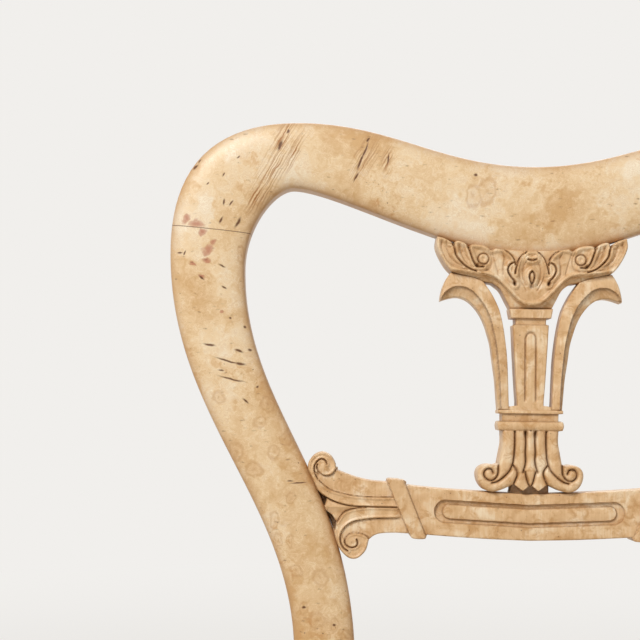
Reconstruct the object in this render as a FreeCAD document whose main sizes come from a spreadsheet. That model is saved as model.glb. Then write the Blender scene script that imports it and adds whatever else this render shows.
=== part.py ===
import FreeCAD, Part
import math
import os
from FreeCAD import Placement, Rotation, Vector

# Lyre back side chair of carved and burr-figured pale wood, with a lift-out seat.
# Millimetres. X to the sitter's left and right, Y from front to back, Z up. The origin is on
# the floor, under the middle of the chair. The chair is the same on both sides of X = 0.
# The whole back is drawn flat, as the maker's pattern board is, in a frame that leans
# backwards by the rake: x across, y into the wood from its front face, z up along the back
# from the top of the seat rails.

SIZES = [
    # Back: the flat pattern of the balloon, outside
    ("rake", 9.0, "lean of the back from upright, degrees"),
    ("back_thickness", 27.0, "crest and uprights, front face to back face"),
    ("dip_drop", 26.5, "middle dip of the crest under its highest points"),
    ("dip_handle", 59.3, "how long the dip stays level"),
    ("peak_offset", 148.4, "middle to the crest's highest point"),
    ("peak_height", 444.8, "highest point of the crest"),
    ("peak_handle_in", 59.0, "roundness of the peak towards the dip"),
    ("peak_handle_out", 51.0, "roundness of the peak towards the shoulder"),
    ("side_offset", 231.7, "middle to the widest point of the back"),
    ("side_drop", 82.5, "widest point under the crest's highest points"),
    ("side_handle_up", 58.9, "roundness of the shoulder"),
    ("side_handle_down", 109.5, "roundness under the shoulder"),
    ("waist_offset", 148.4, "middle to the outside of the waist"),
    ("waist_height", 102.7, "height of the waist, outside"),
    ("waist_handle_up", 98.3, "straightness above the waist"),
    ("waist_handle_down", 50.0, "straightness below the waist"),
    # Back: the flat pattern of the balloon, inside
    ("crest_depth_middle", 58.3, "crest from top to underside at the middle"),
    ("arch_dip_handle", 48.9, "how long the underside stays level"),
    ("arch_shift", 4.5, "highest point of the underside outside the crest's own"),
    ("crest_depth_peak", 42.5, "crest from top to underside at its highest points"),
    ("arch_handle_in", 26.3, "roundness towards the middle"),
    ("arch_handle_out", 12.3, "roundness towards the corner"),
    ("side_width", 47.8, "upright across at the widest point"),
    ("inside_drop", 93.8, "widest point inside under the crest's highest points"),
    ("inside_handle_up", 27.1, "roundness of the inside corner"),
    ("inside_handle_down", 93.5, "roundness under the inside corner"),
    ("waist_width", 38.8, "upright across at the waist"),
    ("inner_waist_drop", 9.2, "waist inside under the waist outside"),
    ("inner_waist_handle", 124.6, "straightness above the waist, inside"),
    ("seam_drop", 67.8, "joint of crest and upright, outside, under the highest points"),
    ("seam_slope", 4.4, "joint of crest and upright, inside edge under the outside edge"),
    ("front_round", 9.0, "rounding of the back's front edges"),
    # Rear legs
    ("stile_outer", 181.0, "middle to the outside of the upright at the seat"),
    ("stile_width", 37.0, "width of the upright at the seat"),
    ("stile_depth", 40.0, "upright front to back at the seat"),
    ("swell_height", 78.0, "where the upright starts to thicken above the seat"),
    ("rear_foot_outer", 189.0, "middle to the outside of the rear foot"),
    ("rear_foot_width", 29.0, "rear foot across"),
    ("rear_foot_depth", 31.0, "rear foot front to back"),
    ("rear_foot_sweep", 51.0, "front of the rear foot behind the back's front line"),
    ("sweep_handle_top", 120.0, "straightness of the rear leg under the rail"),
    ("sweep_handle_foot", 140.0, "straightness of the rear leg above the floor"),
    ("sweep_angle", 21.0, "lean of the rear leg at the floor, degrees"),
    # Cross rail with scrolled ends
    ("rail_setback", 2.0, "cross rail front behind the uprights' front"),
    ("rail_thickness", 21.0, "cross rail front to back"),
    ("cross_rail_drop", 236.6, "cross rail's top at the middle under the highest points"),
    ("rail_depth_middle", 29.6, "cross rail from top to bottom at the middle"),
    ("rail_top_rise", 7.2, "cross rail top at its shoulder over the middle"),
    ("rail_bottom_rise", 3.4, "cross rail bottom at its shoulder over the middle"),
    ("scroll_neck", 27.4, "shoulder of the rail to the upper scroll's eye"),
    ("upper_scroll_inset", 9.6, "upper scroll's eye to the upright"),
    ("upper_scroll_rise", 16.2, "upper scroll's eye over the middle of the rail's top"),
    ("upper_scroll_radius", 8.9, "upper scroll"),
    ("lower_scroll_inset", 9.2, "lower scroll's eye to the upright"),
    ("lower_scroll_drop", 2.3, "lower scroll's eye under the middle of the rail's bottom"),
    ("lower_scroll_radius", 10.3, "lower scroll"),
    ("scroll_proud", 2.6, "scrolls stand in front of the rail"),
    ("scroll_rim", 0.4, "step round the scrolls' raised part"),
    ("tongue_inset", 0.1, "tip of the tongue between the scrolls to the upright"),
    ("tongue_drop", 9.7, "tip of the tongue under the middle of the rail's top"),
    ("channel_half_length", 61.0, "middle to the round end of the sunk channel"),
    ("channel_drop", 13.8, "channel's middle line under the top of the rail"),
    ("channel_width", 15.0, "channel across, over the reed in it"),
    ("reed_width", 8.6, "raised reed in the channel"),
    ("channel_depth", 2.4, "depth of the channel"),
    ("ribbon_top_offset", 84.2, "middle to the ribbon's middle line at its top"),
    ("ribbon_bottom_offset", 70.2, "middle to the ribbon's middle line at its bottom"),
    ("ribbon_width", 11.6, "ribbon across the rail"),
    ("ribbon_overhang", 1.4, "ribbon past the rail's top and bottom"),
    ("ribbon_proud", 3.0, "ribbon in front of the rail"),
    # Lyre
    ("lyre_setback", 1.0, "lyre front behind the uprights' front"),
    ("lyre_thickness", 19.0, "lyre front to back"),
    ("palmette_half_top", 60.8, "carved capital, half width under the crest"),
    ("palmette_half_rim", 50.6, "carved capital, half width at its lower rim"),
    ("palmette_rim_drop", 11.6, "lower rim of the capital under the crest"),
    ("palmette_lap", 4.0, "capital up over the crest's rounded edge"),
    ("palmette_flare", 4.0, "roundness of the capital's side over its rim"),
    ("palmette_neck", 28.6, "half width where the capital's cup starts"),
    ("palmette_proud", 4.0, "capital in front of the lyre"),
    ("cup_depth", 22.4, "capital's cup, rim to the block under it"),
    ("cup_handle", 8.0, "roundness of the cup"),
    ("cup_drop", 2.0, "how soon the cup turns down"),
    ("cup_foot", 4.0, "cup's foot inside the block's edge"),
    ("abacus_half", 13.2, "block over the column, half width"),
    ("abacus_thickness", 6.1, "block over the column"),
    ("column_neck_half", 9.5, "neck under the block, half width"),
    ("column_neck", 4.1, "neck under the block, top to bottom"),
    ("column_half_top", 11.3, "column half width at its top"),
    ("column_half_bottom", 8.3, "column half width at its foot"),
    ("panel_half", 3.4, "sunk line round the column's panel, half width"),
    ("panel_line", 1.2, "width of that sunk line"),
    ("panel_depth", 1.2, "depth of that sunk line"),
    ("horn_tip_offset", 58.2, "middle to the tip of the horn"),
    ("horn_tip_drop", 17.2, "tip of the horn under the capital's rim"),
    ("horn_curl", 10.5, "curled end of the horn across"),
    ("horn_curl_rise", 2.4, "underside of the curled end over its tip"),
    ("horn_tip_handle", 9.0, "roundness of the tip"),
    ("horn_rim_handle", 4.0, "roundness beside the capital's rim"),
    ("horn_bend_inner", 17.0, "bend of the horn's inside under the cup"),
    ("horn_bend_outer", 14.0, "bend of the horn's outside under its curl"),
    ("horn_stem_inner", 48.0, "straightness of the stem, inside"),
    ("horn_stem_outer", 44.0, "straightness of the stem, outside"),
    ("horn_foot_outer", 20.7, "middle to the outside of the horn's foot"),
    ("horn_foot_width", 7.6, "horn's foot across"),
    ("horn_thickness", 13.0, "horn front to back"),
    ("horn_setback", 2.5, "horn front behind the lyre's front"),
    ("foot_height", 56.2, "lyre's foot, cross rail to the top of its plate"),
    ("plate_thickness", 4.4, "plate on top of the lyre's foot"),
    ("plate_half", 20.9, "plate and collar, half width"),
    ("foot_neck_half", 17.9, "neck between plate and collar, half width"),
    ("foot_neck", 5.8, "neck between plate and collar, top to bottom"),
    ("collar_thickness", 5.8, "collar over the leaves"),
    ("leaf_top_half", 18.9, "leafy foot, half width under the collar"),
    ("leaf_half", 20.1, "leafy foot, half width above its scrolls"),
    ("leaf_handle", 9.0, "roundness of the leaves under the collar"),
    ("leaf_scroll_handle", 14.0, "roundness of the leaves over the scroll"),
    ("foot_scroll_offset", 25.9, "middle to the eye of the foot's scroll"),
    ("foot_scroll_rise", 10.6, "eye of the foot's scroll over the cross rail"),
    ("foot_scroll_radius", 8.6, "foot's scroll"),
    # Seat rails and front legs
    ("rail_top", 430.0, "top of the seat rails above the floor"),
    ("seat_rail_height", 62.0, "seat rails, top to bottom"),
    ("seat_rail_thickness", 24.0, "seat rails, face to face"),
    ("seat_depth", 410.0, "front of the seat to the front of the back"),
    ("seat_half_front", 235.0, "half width of the seat at the front legs"),
    ("reveal", 1.0, "rails behind the faces of the legs"),
    ("leg_block", 45.0, "square head of the front leg"),
    ("ledge_width", 12.0, "ledge that carries the lift-out seat"),
    ("ledge_depth", 14.0, "ledge under the top of the rails"),
    ("rear_rail_front", 14.0, "rear rail's ledge in front of the back"),
    ("rear_rail_back", 15.0, "rear rail behind the front of the back"),
    ("tenon_thickness", 9.0, "tenons"),
    ("tenon_height", 42.0, "tenons"),
    ("tenon_length", 19.0, "tenons"),
    ("tenon_root", 1.0, "side rail's rear tenon, start behind the rear rail's front"),
    ("corner_block_leg", 48.0, "corner blocks along the rails"),
    ("corner_block_height", 36.0, "corner blocks"),
    ("corner_block_drop", 4.0, "corner blocks under the ledge"),
    ("screw_radius", 2.1, "corner block screws, shank"),
    ("screw_head_radius", 4.2, "corner block screws, head"),
    ("screw_length", 34.0, "corner block screws"),
    ("screw_in_block", 15.3, "corner block screws, head to the rail's face"),
    ("screw_rise", 7.0, "corner block screws over or under the block's middle"),
    ("front_screw_place", 11.2, "front corner block screws from the leg"),
    ("rear_screw_place", 22.4, "screws in the rear rail from the side rail"),
    ("side_screw_place", 16.0, "screws in the side rail from the rear rail"),
    ("front_block_leg", 36.0, "front corner blocks along the rails"),
    # Turned front leg, radii and heights above the floor
    ("tip_radius", 9.5, "front foot on the floor"),
    ("peg_radius", 15.5, "widest part of the peg foot"),
    ("peg_height", 34.0, "height of that part"),
    ("ankle_radius", 10.0, "ankle over the peg foot"),
    ("ankle_height", 58.0, "height of the ankle"),
    ("anklet_radius", 13.6, "ring over the ankle"),
    ("anklet_height", 67.0, "height of that ring"),
    ("anklet_half", 5.0, "fillet under that ring"),
    ("shaft_bottom_radius", 11.4, "shaft over the ring"),
    ("shaft_bottom_height", 75.0, "height where the shaft starts"),
    ("shaft_top_radius", 17.6, "shaft under the upper ring"),
    ("shaft_top_drop", 100.0, "end of the shaft under the seat rails"),
    ("upper_ring_radius", 21.0, "ring over the shaft"),
    ("upper_ring_drop", 92.0, "that ring under the seat rails"),
    ("cup_bottom_radius", 14.6, "foot of the leafy cup"),
    ("cup_bottom_drop", 79.0, "cup's foot under the seat rails"),
    ("cup_radius", 22.0, "leafy cup at its widest"),
    ("cup_widest_drop", 30.0, "cup's widest part under the seat rails"),
    ("cup_lip_radius", 17.5, "neck over the cup"),
    ("cup_lip_drop", 12.0, "that neck under the seat rails"),
    ("leg_top_radius", 21.5, "ring under the square head"),
    # Lift-out seat
    ("seat_gap", 1.0, "gap round the lift-out seat"),
    ("cover_thickness", 1.2, "seat cover"),
    ("cover_margin", 24.0, "cover turned under the frame"),
    ("cover_side_height", 25.0, "upright side of the seat, from the ledge"),
    ("crown_height", 26.0, "crown of the seat over its sides"),
    ("crown_run", 67.6, "how far in from its sides the seat reaches its full height"),
    ("stuffing_edge", 0.5, "upright edge of the stuffing"),
    ("frame_width", 46.0, "seat frame members across"),
    ("frame_thickness", 18.0, "seat frame members"),
    ("web_width", 48.0, "webbing"),
    ("web_thickness", 1.5, "webbing"),
    ("hessian_thickness", 0.8, "hessian over the webbing"),
    ("soft_gap", 0.3, "play between soft layers"),
    ("tack_head_radius", 3.2, "tacks"),
    ("tack_head", 0.7, "tacks, thickness of the head"),
    ("tack_radius", 0.8, "tacks"),
    ("tack_length", 8.0, "tacks"),
    ("tack_inset", 8.0, "webbing tacks from the webbing's end"),
    # Dowels
    ("dowel_radius", 4.5, "dowels of the crest"),
    ("dowel_length", 42.0, "dowels of the crest"),
    ("rail_dowel_radius", 3.2, "dowels of the cross rail"),
    ("rail_dowel_length", 36.0, "dowels of the cross rail"),
    ("upper_dowel_drop", 3.9, "cross rail's upper dowel under the scroll's eye"),
    ("lower_dowel_rise", 1.7, "cross rail's lower dowel over the scroll's eye"),
    ("lyre_dowel_radius", 2.8, "dowels of the lyre"),
    ("lyre_dowel_length", 22.0, "dowels of the lyre"),
    ("pin_radius", 1.4, "pins of the horns"),
    ("pin_length", 13.0, "pins of the horns"),
    ("pin_inset", 10.0, "horns' upper pins inside the capital's rim"),
    ("palmette_dowel_rise", 4.0, "palmette's dowels, middle over the crest's underside"),
    ("dowel_play", 0.1, "play round a dowel, pin or tenon"),
]

doc = FreeCAD.newDocument("lyre_back_chair")
sheet = doc.addObject("Spreadsheet::Sheet", "Sizes")
for row, (alias, value, meaning) in enumerate(SIZES, start=1):
    sheet.set("A%d" % row, meaning)
    sheet.set("B%d" % row, str(value))
    sheet.setAlias("B%d" % row, alias)
doc.recompute()


class Sheet:
    """Reads a size by its alias, so that the code below says g.rake."""

    def __getattr__(self, alias):
        return float(sheet.get(alias))


g = Sheet()
nodes = {}

# Places that follow from the sizes
LEAN = math.radians(g.rake)
BACK_REACH = g.peak_height * math.sin(LEAN) + g.back_thickness * math.cos(LEAN)
FRONT_Y = -(g.seat_depth + BACK_REACH) / 2
BACK_Y = FRONT_Y + g.seat_depth
LEDGE_Z = g.rail_top - g.ledge_depth
RAIL_BOTTOM = g.rail_top - g.seat_rail_height
LEG_HEAD_REAR = FRONT_Y + g.leg_block
RAKED = Placement(Vector(0, BACK_Y, g.rail_top), Rotation(Vector(1, 0, 0), -g.rake))
# Heights in the back that hang from its highest points
DIP_HEIGHT = g.peak_height - g.dip_drop
SIDE_HEIGHT = g.peak_height - g.side_drop
ARCH_DIP_HEIGHT = DIP_HEIGHT - g.crest_depth_middle
ARCH_PEAK_HEIGHT = g.peak_height - g.crest_depth_peak
ARCH_PEAK_OFFSET = g.peak_offset + g.arch_shift
INSIDE_OFFSET = g.side_offset - g.side_width
INSIDE_HEIGHT = g.peak_height - g.inside_drop
INNER_WAIST_OFFSET = g.waist_offset - g.waist_width
INNER_WAIST_HEIGHT = g.waist_height - g.inner_waist_drop
STILE_INNER = g.stile_outer - g.stile_width
SEAM_OUTER = g.peak_height - g.seam_drop
SEAM_INNER = SEAM_OUTER - g.seam_slope
# Heights in the lyre, which stands between the cross rail and the crest
RIM_HEIGHT = ARCH_DIP_HEIGHT - g.palmette_rim_drop
ABACUS_TOP = RIM_HEIGHT - g.cup_depth
ABACUS_BOTTOM = ABACUS_TOP - g.abacus_thickness
COLUMN_TOP = ABACUS_BOTTOM - g.column_neck
RAIL_TOP_MIDDLE = g.peak_height - g.cross_rail_drop
COLUMN_FOOT = RAIL_TOP_MIDDLE + g.foot_height
PLATE_BOTTOM = COLUMN_FOOT - g.plate_thickness
COLLAR_TOP = PLATE_BOTTOM - g.foot_neck
COLLAR_BOTTOM = COLLAR_TOP - g.collar_thickness
# How much the seat narrows in each millimetre towards the back, on each side
NARROWING = (g.seat_half_front - g.stile_outer) / (BACK_Y - LEG_HEAD_REAR)
# Room for a cut to start outside the wood
OVERCUT = 20.0


def to_back(y, z):
    """A floor-frame point (y, z) in the leaning frame of the back."""
    point = RAKED.inverse().multVec(Vector(0, y, z))
    return point.y, point.z


def finish(node, name):
    node.Label = name
    nodes[name] = node
    return node


# Outlines: lists of points, two for a line, three for an arc through them, four for a curve's poles

def flip(outline, side):
    return [[(side * x, y) for x, y in poles] for poles in outline]


def backwards(outline):
    return [poles[::-1] for poles in outline[::-1]]


def polygon(points):
    return [[p, q] for p, q in zip(points, points[1:] + points[:1])]


def chain(points):
    return [[p, q] for p, q in zip(points, points[1:])]


def blend(p, q, t):
    return (p[0] + (q[0] - p[0]) * t, p[1] + (q[1] - p[1]) * t)


def split(poles, t):
    """Cuts one curve in two at t."""
    a, b, c, d = poles
    ab, bc, cd = blend(a, b, t), blend(b, c, t), blend(c, d, t)
    abc, bcd = blend(ab, bc, t), blend(bc, cd, t)
    middle = blend(abc, bcd, t)
    return [a, ab, abc, middle], [middle, bcd, cd, d]


def split_where(poles, before):
    """Cuts a curve in two at the point where a test of its points stops being true."""
    low, high = 0.0, 1.0
    for _ in range(50):
        t = (low + high) / 2
        if before(split(poles, t)[0][3]):
            low = t
        else:
            high = t
    return split(poles, t)


def circle_arc(centre, radius, start, end):
    """Arcs round a centre from one angle to another, in degrees, each a half turn at most."""
    steps = max(1, math.ceil(abs(end - start) / 180.0 - 1e-9))
    angles = [math.radians(start + (end - start) * i / (2 * steps)) for i in range(2 * steps + 1)]
    points = [(centre[0] + radius * math.cos(a), centre[1] + radius * math.sin(a)) for a in angles]
    return [points[i:i + 3] for i in range(0, 2 * steps, 2)]


def geometry(poles):
    points = [Vector(x, y, 0) for x, y in poles]
    if len(points) == 2:
        return Part.LineSegment(*points)
    if len(points) == 3:
        return Part.Arc(*points)
    curve = Part.BezierCurve()
    curve.setPoles(points)
    return curve.toBSpline()


# Bodies: sketches on a body's own planes, and the features made from them

def new_body(name, placement=None):
    body = doc.addObject("PartDesign::Body", name)
    if placement:
        body.Placement = placement
    return body


def add_sketch(body, plane, outlines, offset=0.0):
    """Closed outlines on a plane of the body, moved along the plane's normal."""
    sketch = body.newObject("Sketcher::SketchObject", body.Name + "_sketch")
    support = [f for f in body.Origin.OriginFeatures if f.Role == plane][0]
    sketch.AttachmentSupport = [(support, "")]
    sketch.MapMode = "FlatFace"
    sketch.AttachmentOffset = Placement(Vector(0, 0, offset), Rotation())
    for outline in outlines:
        for poles in outline:
            sketch.addGeometry(geometry(poles), False)
    return sketch


def add_pad(body, sketch, length, back=False):
    pad = body.newObject("PartDesign::Pad", body.Name + "_pad")
    pad.Profile = sketch
    pad.setExpression("Length", length)
    pad.Reversed = back
    sketch.Visibility = False
    return pad


def add_pocket(body, sketch, length, back=False):
    """Cuts to a length, or right through both ways where the length is None."""
    pocket = body.newObject("PartDesign::Pocket", body.Name + "_pocket")
    pocket.Profile = sketch
    if length is None:
        pocket.Type = 1
        pocket.Midplane = True
    else:
        pocket.setExpression("Length", length)
    pocket.Reversed = back
    before = len(body.Shape.Solids) and body.Shape.Volume
    doc.recompute()
    if before and not body.Shape.Volume < before:
        raise RuntimeError("a pocket of %s cuts nothing" % body.Name)
    return pocket


def front_board(name, outline, start, length):
    """A board of the back: its outline seen from the front, from y = start backwards."""
    body = new_body(name, RAKED)
    sketch = add_sketch(body, "XZ_Plane", [outline], -start)
    add_pad(body, sketch, length, back=True)
    doc.recompute()
    return body


def flat_board(name, outline, bottom, height):
    """A board seen from above, from a height above the floor upwards."""
    body = new_body(name)
    body.setExpression("Placement.Base.z", bottom)
    sketch = add_sketch(body, "XY_Plane", [outline])
    add_pad(body, sketch, height)
    doc.recompute()
    return body


def round_front(body, radius, keep):
    """Rounds the long edges of a board's front face."""
    tip = body.Tip
    names = []
    for i, edge in enumerate(tip.Shape.Edges, start=1):
        ends = [v.Point for v in edge.Vertexes]
        if edge.Length > 3 * g.front_round and keep(edge.valueAt(edge.FirstParameter), ends):
            names.append("Edge%d" % i)
    fillet = body.newObject("PartDesign::Fillet", body.Name + "_round")
    fillet.Base = (tip, names)
    fillet.setExpression("Radius", radius)
    doc.recompute()
    return fillet


def cylinder(name, radius, length, placement):
    peg = doc.addObject("Part::Cylinder", name)
    peg.setExpression("Radius", radius)
    peg.setExpression("Height", length)
    peg.Placement = placement
    return peg


def group(name, members):
    compound = doc.addObject("Part::Compound", name)
    compound.Links = members
    doc.recompute()
    return compound


def cut(base, tool):
    result = doc.addObject("Part::Cut", base.Name + "_cut")
    result.Base = base
    result.Tool = tool
    doc.recompute()
    return result


def fuse(name, members):
    result = doc.addObject("Part::MultiFuse", name)
    result.Shapes = members
    doc.recompute()
    return result


def pegs(name, radius, length, places):
    """A group of dowels, each centred on its place along the place's own z, and their holes."""
    solids = []
    holes = []
    for i, place in enumerate(places):
        centred = place.multiply(Placement(Vector(0, 0, -getattr(g, length) / 2), Rotation()))
        solids.append(cylinder("%s_%d" % (name, i), "Sizes." + radius, "Sizes." + length, centred))
        deeper = place.multiply(Placement(Vector(0, 0, -getattr(g, length) / 2 - g.dowel_play), Rotation()))
        holes.append(cylinder("%s_hole_%d" % (name, i), "Sizes.%s + Sizes.dowel_play" % radius,
                              "Sizes.%s + 2 * Sizes.dowel_play" % length, deeper))
    return finish(group(name, solids), name), group(name + "_holes", holes)


def in_back(x, y, z, axis=Vector(0, 0, 1)):
    """A place in the leaning frame, with its own z along an axis of that frame."""
    return RAKED.multiply(Placement(Vector(x, y, z), Rotation(Vector(0, 0, 1), axis)))


# The balloon's curves on the right-hand side, from the middle outwards and down
outer_crown = [(0, DIP_HEIGHT), (g.dip_handle, DIP_HEIGHT),
               (g.peak_offset - g.peak_handle_in, g.peak_height), (g.peak_offset, g.peak_height)]
outer_shoulder = [(g.peak_offset, g.peak_height), (g.peak_offset + g.peak_handle_out, g.peak_height),
                  (g.side_offset, SIDE_HEIGHT + g.side_handle_up), (g.side_offset, SIDE_HEIGHT)]
outer_flank = [(g.side_offset, SIDE_HEIGHT), (g.side_offset, SIDE_HEIGHT - g.side_handle_down),
               (g.waist_offset, g.waist_height + g.waist_handle_up), (g.waist_offset, g.waist_height)]
outer_skirt = [(g.waist_offset, g.waist_height), (g.waist_offset, g.waist_height - g.waist_handle_down),
               (g.stile_outer, g.waist_handle_down), (g.stile_outer, 0)]
inner_crown = [(0, ARCH_DIP_HEIGHT), (g.arch_dip_handle, ARCH_DIP_HEIGHT),
               (ARCH_PEAK_OFFSET - g.arch_handle_in, ARCH_PEAK_HEIGHT), (ARCH_PEAK_OFFSET, ARCH_PEAK_HEIGHT)]
inner_corner = [(ARCH_PEAK_OFFSET, ARCH_PEAK_HEIGHT), (ARCH_PEAK_OFFSET + g.arch_handle_out, ARCH_PEAK_HEIGHT),
                (INSIDE_OFFSET, INSIDE_HEIGHT + g.inside_handle_up), (INSIDE_OFFSET, INSIDE_HEIGHT)]
inner_flank = [(INSIDE_OFFSET, INSIDE_HEIGHT), (INSIDE_OFFSET, INSIDE_HEIGHT - g.inside_handle_down),
               (INNER_WAIST_OFFSET, INNER_WAIST_HEIGHT + g.inner_waist_handle),
               (INNER_WAIST_OFFSET, INNER_WAIST_HEIGHT)]
inner_skirt = [(INNER_WAIST_OFFSET, INNER_WAIST_HEIGHT),
               (INNER_WAIST_OFFSET, INNER_WAIST_HEIGHT - g.waist_handle_down),
               (STILE_INNER, g.waist_handle_down), (STILE_INNER, 0)]
shoulder_over, shoulder_under = split_where(outer_shoulder, lambda p: p[1] > SEAM_OUTER)
corner_over, corner_under = split_where(inner_corner, lambda p: p[1] > SEAM_INNER)
seam = [shoulder_over[3], corner_over[3]]


def upright_inside(height):
    """Middle of the back to the inside of the upright, at a height over the seat rails."""
    return split_where(inner_flank, lambda p: p[1] > height)[0][3][0]


# The cross rail's ends meet the uprights, wherever these run
RAIL_BOTTOM_MIDDLE = RAIL_TOP_MIDDLE - g.rail_depth_middle
UPPER_EYE_HEIGHT = RAIL_TOP_MIDDLE + g.upper_scroll_rise
UPPER_EYE = (upright_inside(UPPER_EYE_HEIGHT) - g.upper_scroll_inset, UPPER_EYE_HEIGHT)
LOWER_EYE_HEIGHT = RAIL_BOTTOM_MIDDLE - g.lower_scroll_drop
LOWER_EYE = (upright_inside(LOWER_EYE_HEIGHT) - g.lower_scroll_inset, LOWER_EYE_HEIGHT)
TONGUE_HEIGHT = RAIL_TOP_MIDDLE - g.tongue_drop
TONGUE = (upright_inside(TONGUE_HEIGHT) - g.tongue_inset, TONGUE_HEIGHT)
RAIL_SHOULDER = UPPER_EYE[0] - g.scroll_neck


# Crest rail: one arched board over both uprights

def crest_rail():
    right = [outer_crown, shoulder_over, seam] + backwards([inner_crown, corner_over])
    outline = right + backwards(flip(right, -1))
    body = front_board("crest_rail", outline, 0, "Sizes.back_thickness")
    round_front(body, "Sizes.front_round", lambda point, ends: abs(point.y) < 0.01
                and max(abs(ends[0].z - ends[-1].z), abs(ends[0].x - ends[-1].x)) > g.back_thickness * 2)
    return body


# Upright and rear leg in one piece, sawn to its front pattern and then to its side pattern

def side_pattern():
    """The upright seen from the side: front edge, foot on the floor, back edge, top."""
    rail_low = -g.seat_rail_height / math.cos(LEAN)
    foot_front = BACK_Y + g.rear_foot_sweep
    foot_back = foot_front + g.rear_foot_depth
    lean = math.radians(g.sweep_angle)
    handle = (g.sweep_handle_foot * math.sin(lean), g.sweep_handle_foot * math.cos(lean))
    top = SEAM_OUTER + OVERCUT
    front = [[(0, top), (0, rail_low)],
             [(0, rail_low), (0, rail_low - g.sweep_handle_top),
              to_back(foot_front - handle[0], handle[1]), to_back(foot_front, 0)]]
    back = [[to_back(foot_back, 0), to_back(foot_back - handle[0], handle[1]),
             (g.stile_depth, rail_low - g.sweep_handle_top), (g.stile_depth, rail_low)],
            [(g.stile_depth, rail_low), (g.stile_depth, 0)],
            [(g.stile_depth, 0), (g.stile_depth, g.swell_height / 2),
             (g.back_thickness, g.swell_height / 2), (g.back_thickness, g.swell_height)],
            [(g.back_thickness, g.swell_height), (g.back_thickness, top)]]
    sole = [[to_back(foot_front, 0), to_back(foot_back, 0)]]
    return front + sole + back + [[(g.back_thickness, top), (0, top)]]


def stile(name, side):
    foot_y, foot_z = to_back(BACK_Y + g.rear_foot_sweep + g.rear_foot_depth, 0)
    rail_low = -g.seat_rail_height / math.cos(LEAN)
    low = to_back(BACK_Y, 0)[1] - OVERCUT
    outside = [(g.stile_outer, 0), (g.stile_outer, rail_low), (g.rear_foot_outer, low)]
    foot_inner = g.rear_foot_outer - g.rear_foot_width
    inside = [(foot_inner, low), (STILE_INNER, rail_low), (STILE_INNER, 0)]
    outline = ([shoulder_under, outer_flank, outer_skirt] + chain(outside)
               + [[outside[-1], inside[0]]] + chain(inside)
               + backwards([corner_under, inner_flank, inner_skirt]) + [seam[::-1]])
    body = new_body(name, RAKED)
    front = add_sketch(body, "XZ_Plane", [flip(outline, side)], OVERCUT)
    pad = body.newObject("PartDesign::Pad", name + "_pad")
    pad.Profile = front
    pad.Reversed = True
    pad.Length = foot_y + 2 * OVERCUT
    doc.recompute()
    frame = polygon([(-2 * OVERCUT, low - OVERCUT), (foot_y + 3 * OVERCUT, low - OVERCUT),
                     (foot_y + 3 * OVERCUT, g.peak_height + OVERCUT), (-2 * OVERCUT, g.peak_height + OVERCUT)])
    waste = add_sketch(body, "YZ_Plane", [frame, side_pattern()])
    add_pocket(body, waste, None)
    round_front(body, "Sizes.front_round", lambda point, ends: abs(ends[0].y) < 0.01
                and abs(ends[-1].y) < 0.01 and min(ends[0].z, ends[-1].z) > -0.01)
    return body


# Cross rail: a slightly sagging bar that ends in two scrolls and a tongue on each side

def cross_rail_outline():
    """Right half, from the middle of the top round the end to the middle of the bottom."""
    shoulder_top = (RAIL_SHOULDER, RAIL_TOP_MIDDLE + g.rail_top_rise)
    shoulder_low = (RAIL_SHOULDER - g.lower_scroll_radius, RAIL_BOTTOM_MIDDLE + g.rail_bottom_rise)
    over = circle_arc(UPPER_EYE, g.upper_scroll_radius, 170, -25)
    under = circle_arc(LOWER_EYE, g.lower_scroll_radius, 55, -160)
    third = RAIL_SHOULDER / 3
    hollow_top = (TONGUE[0] - g.upper_scroll_radius * 0.5, TONGUE[1] + g.upper_scroll_radius * 0.8)
    hollow_low = (TONGUE[0] - g.lower_scroll_radius * 0.8, TONGUE[1] - g.lower_scroll_radius * 0.8)
    top = [[(0, RAIL_TOP_MIDDLE), (third, RAIL_TOP_MIDDLE),
            (2 * third, RAIL_TOP_MIDDLE + g.rail_top_rise * 0.72), shoulder_top],
           [shoulder_top, over[0][0]]]
    end = [[over[-1][-1], hollow_top], [hollow_top, TONGUE], [TONGUE, hollow_low], [hollow_low, under[0][0]]]
    bottom = [[under[-1][-1], shoulder_low],
              [shoulder_low, (2 * third, shoulder_low[1]), (third, RAIL_BOTTOM_MIDDLE), (0, RAIL_BOTTOM_MIDDLE)]]
    return top + over + end + under + bottom


def slot_outline(half_length, middle, width):
    """A long slot with round ends, across the middle of the back."""
    radius = width / 2
    right = circle_arc((half_length - radius, middle), radius, 90, -90)
    left = circle_arc((radius - half_length, middle), radius, -90, -270)
    return right + [[right[-1][-1], left[0][0]]] + left + [[left[-1][-1], right[0][0]]]


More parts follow.
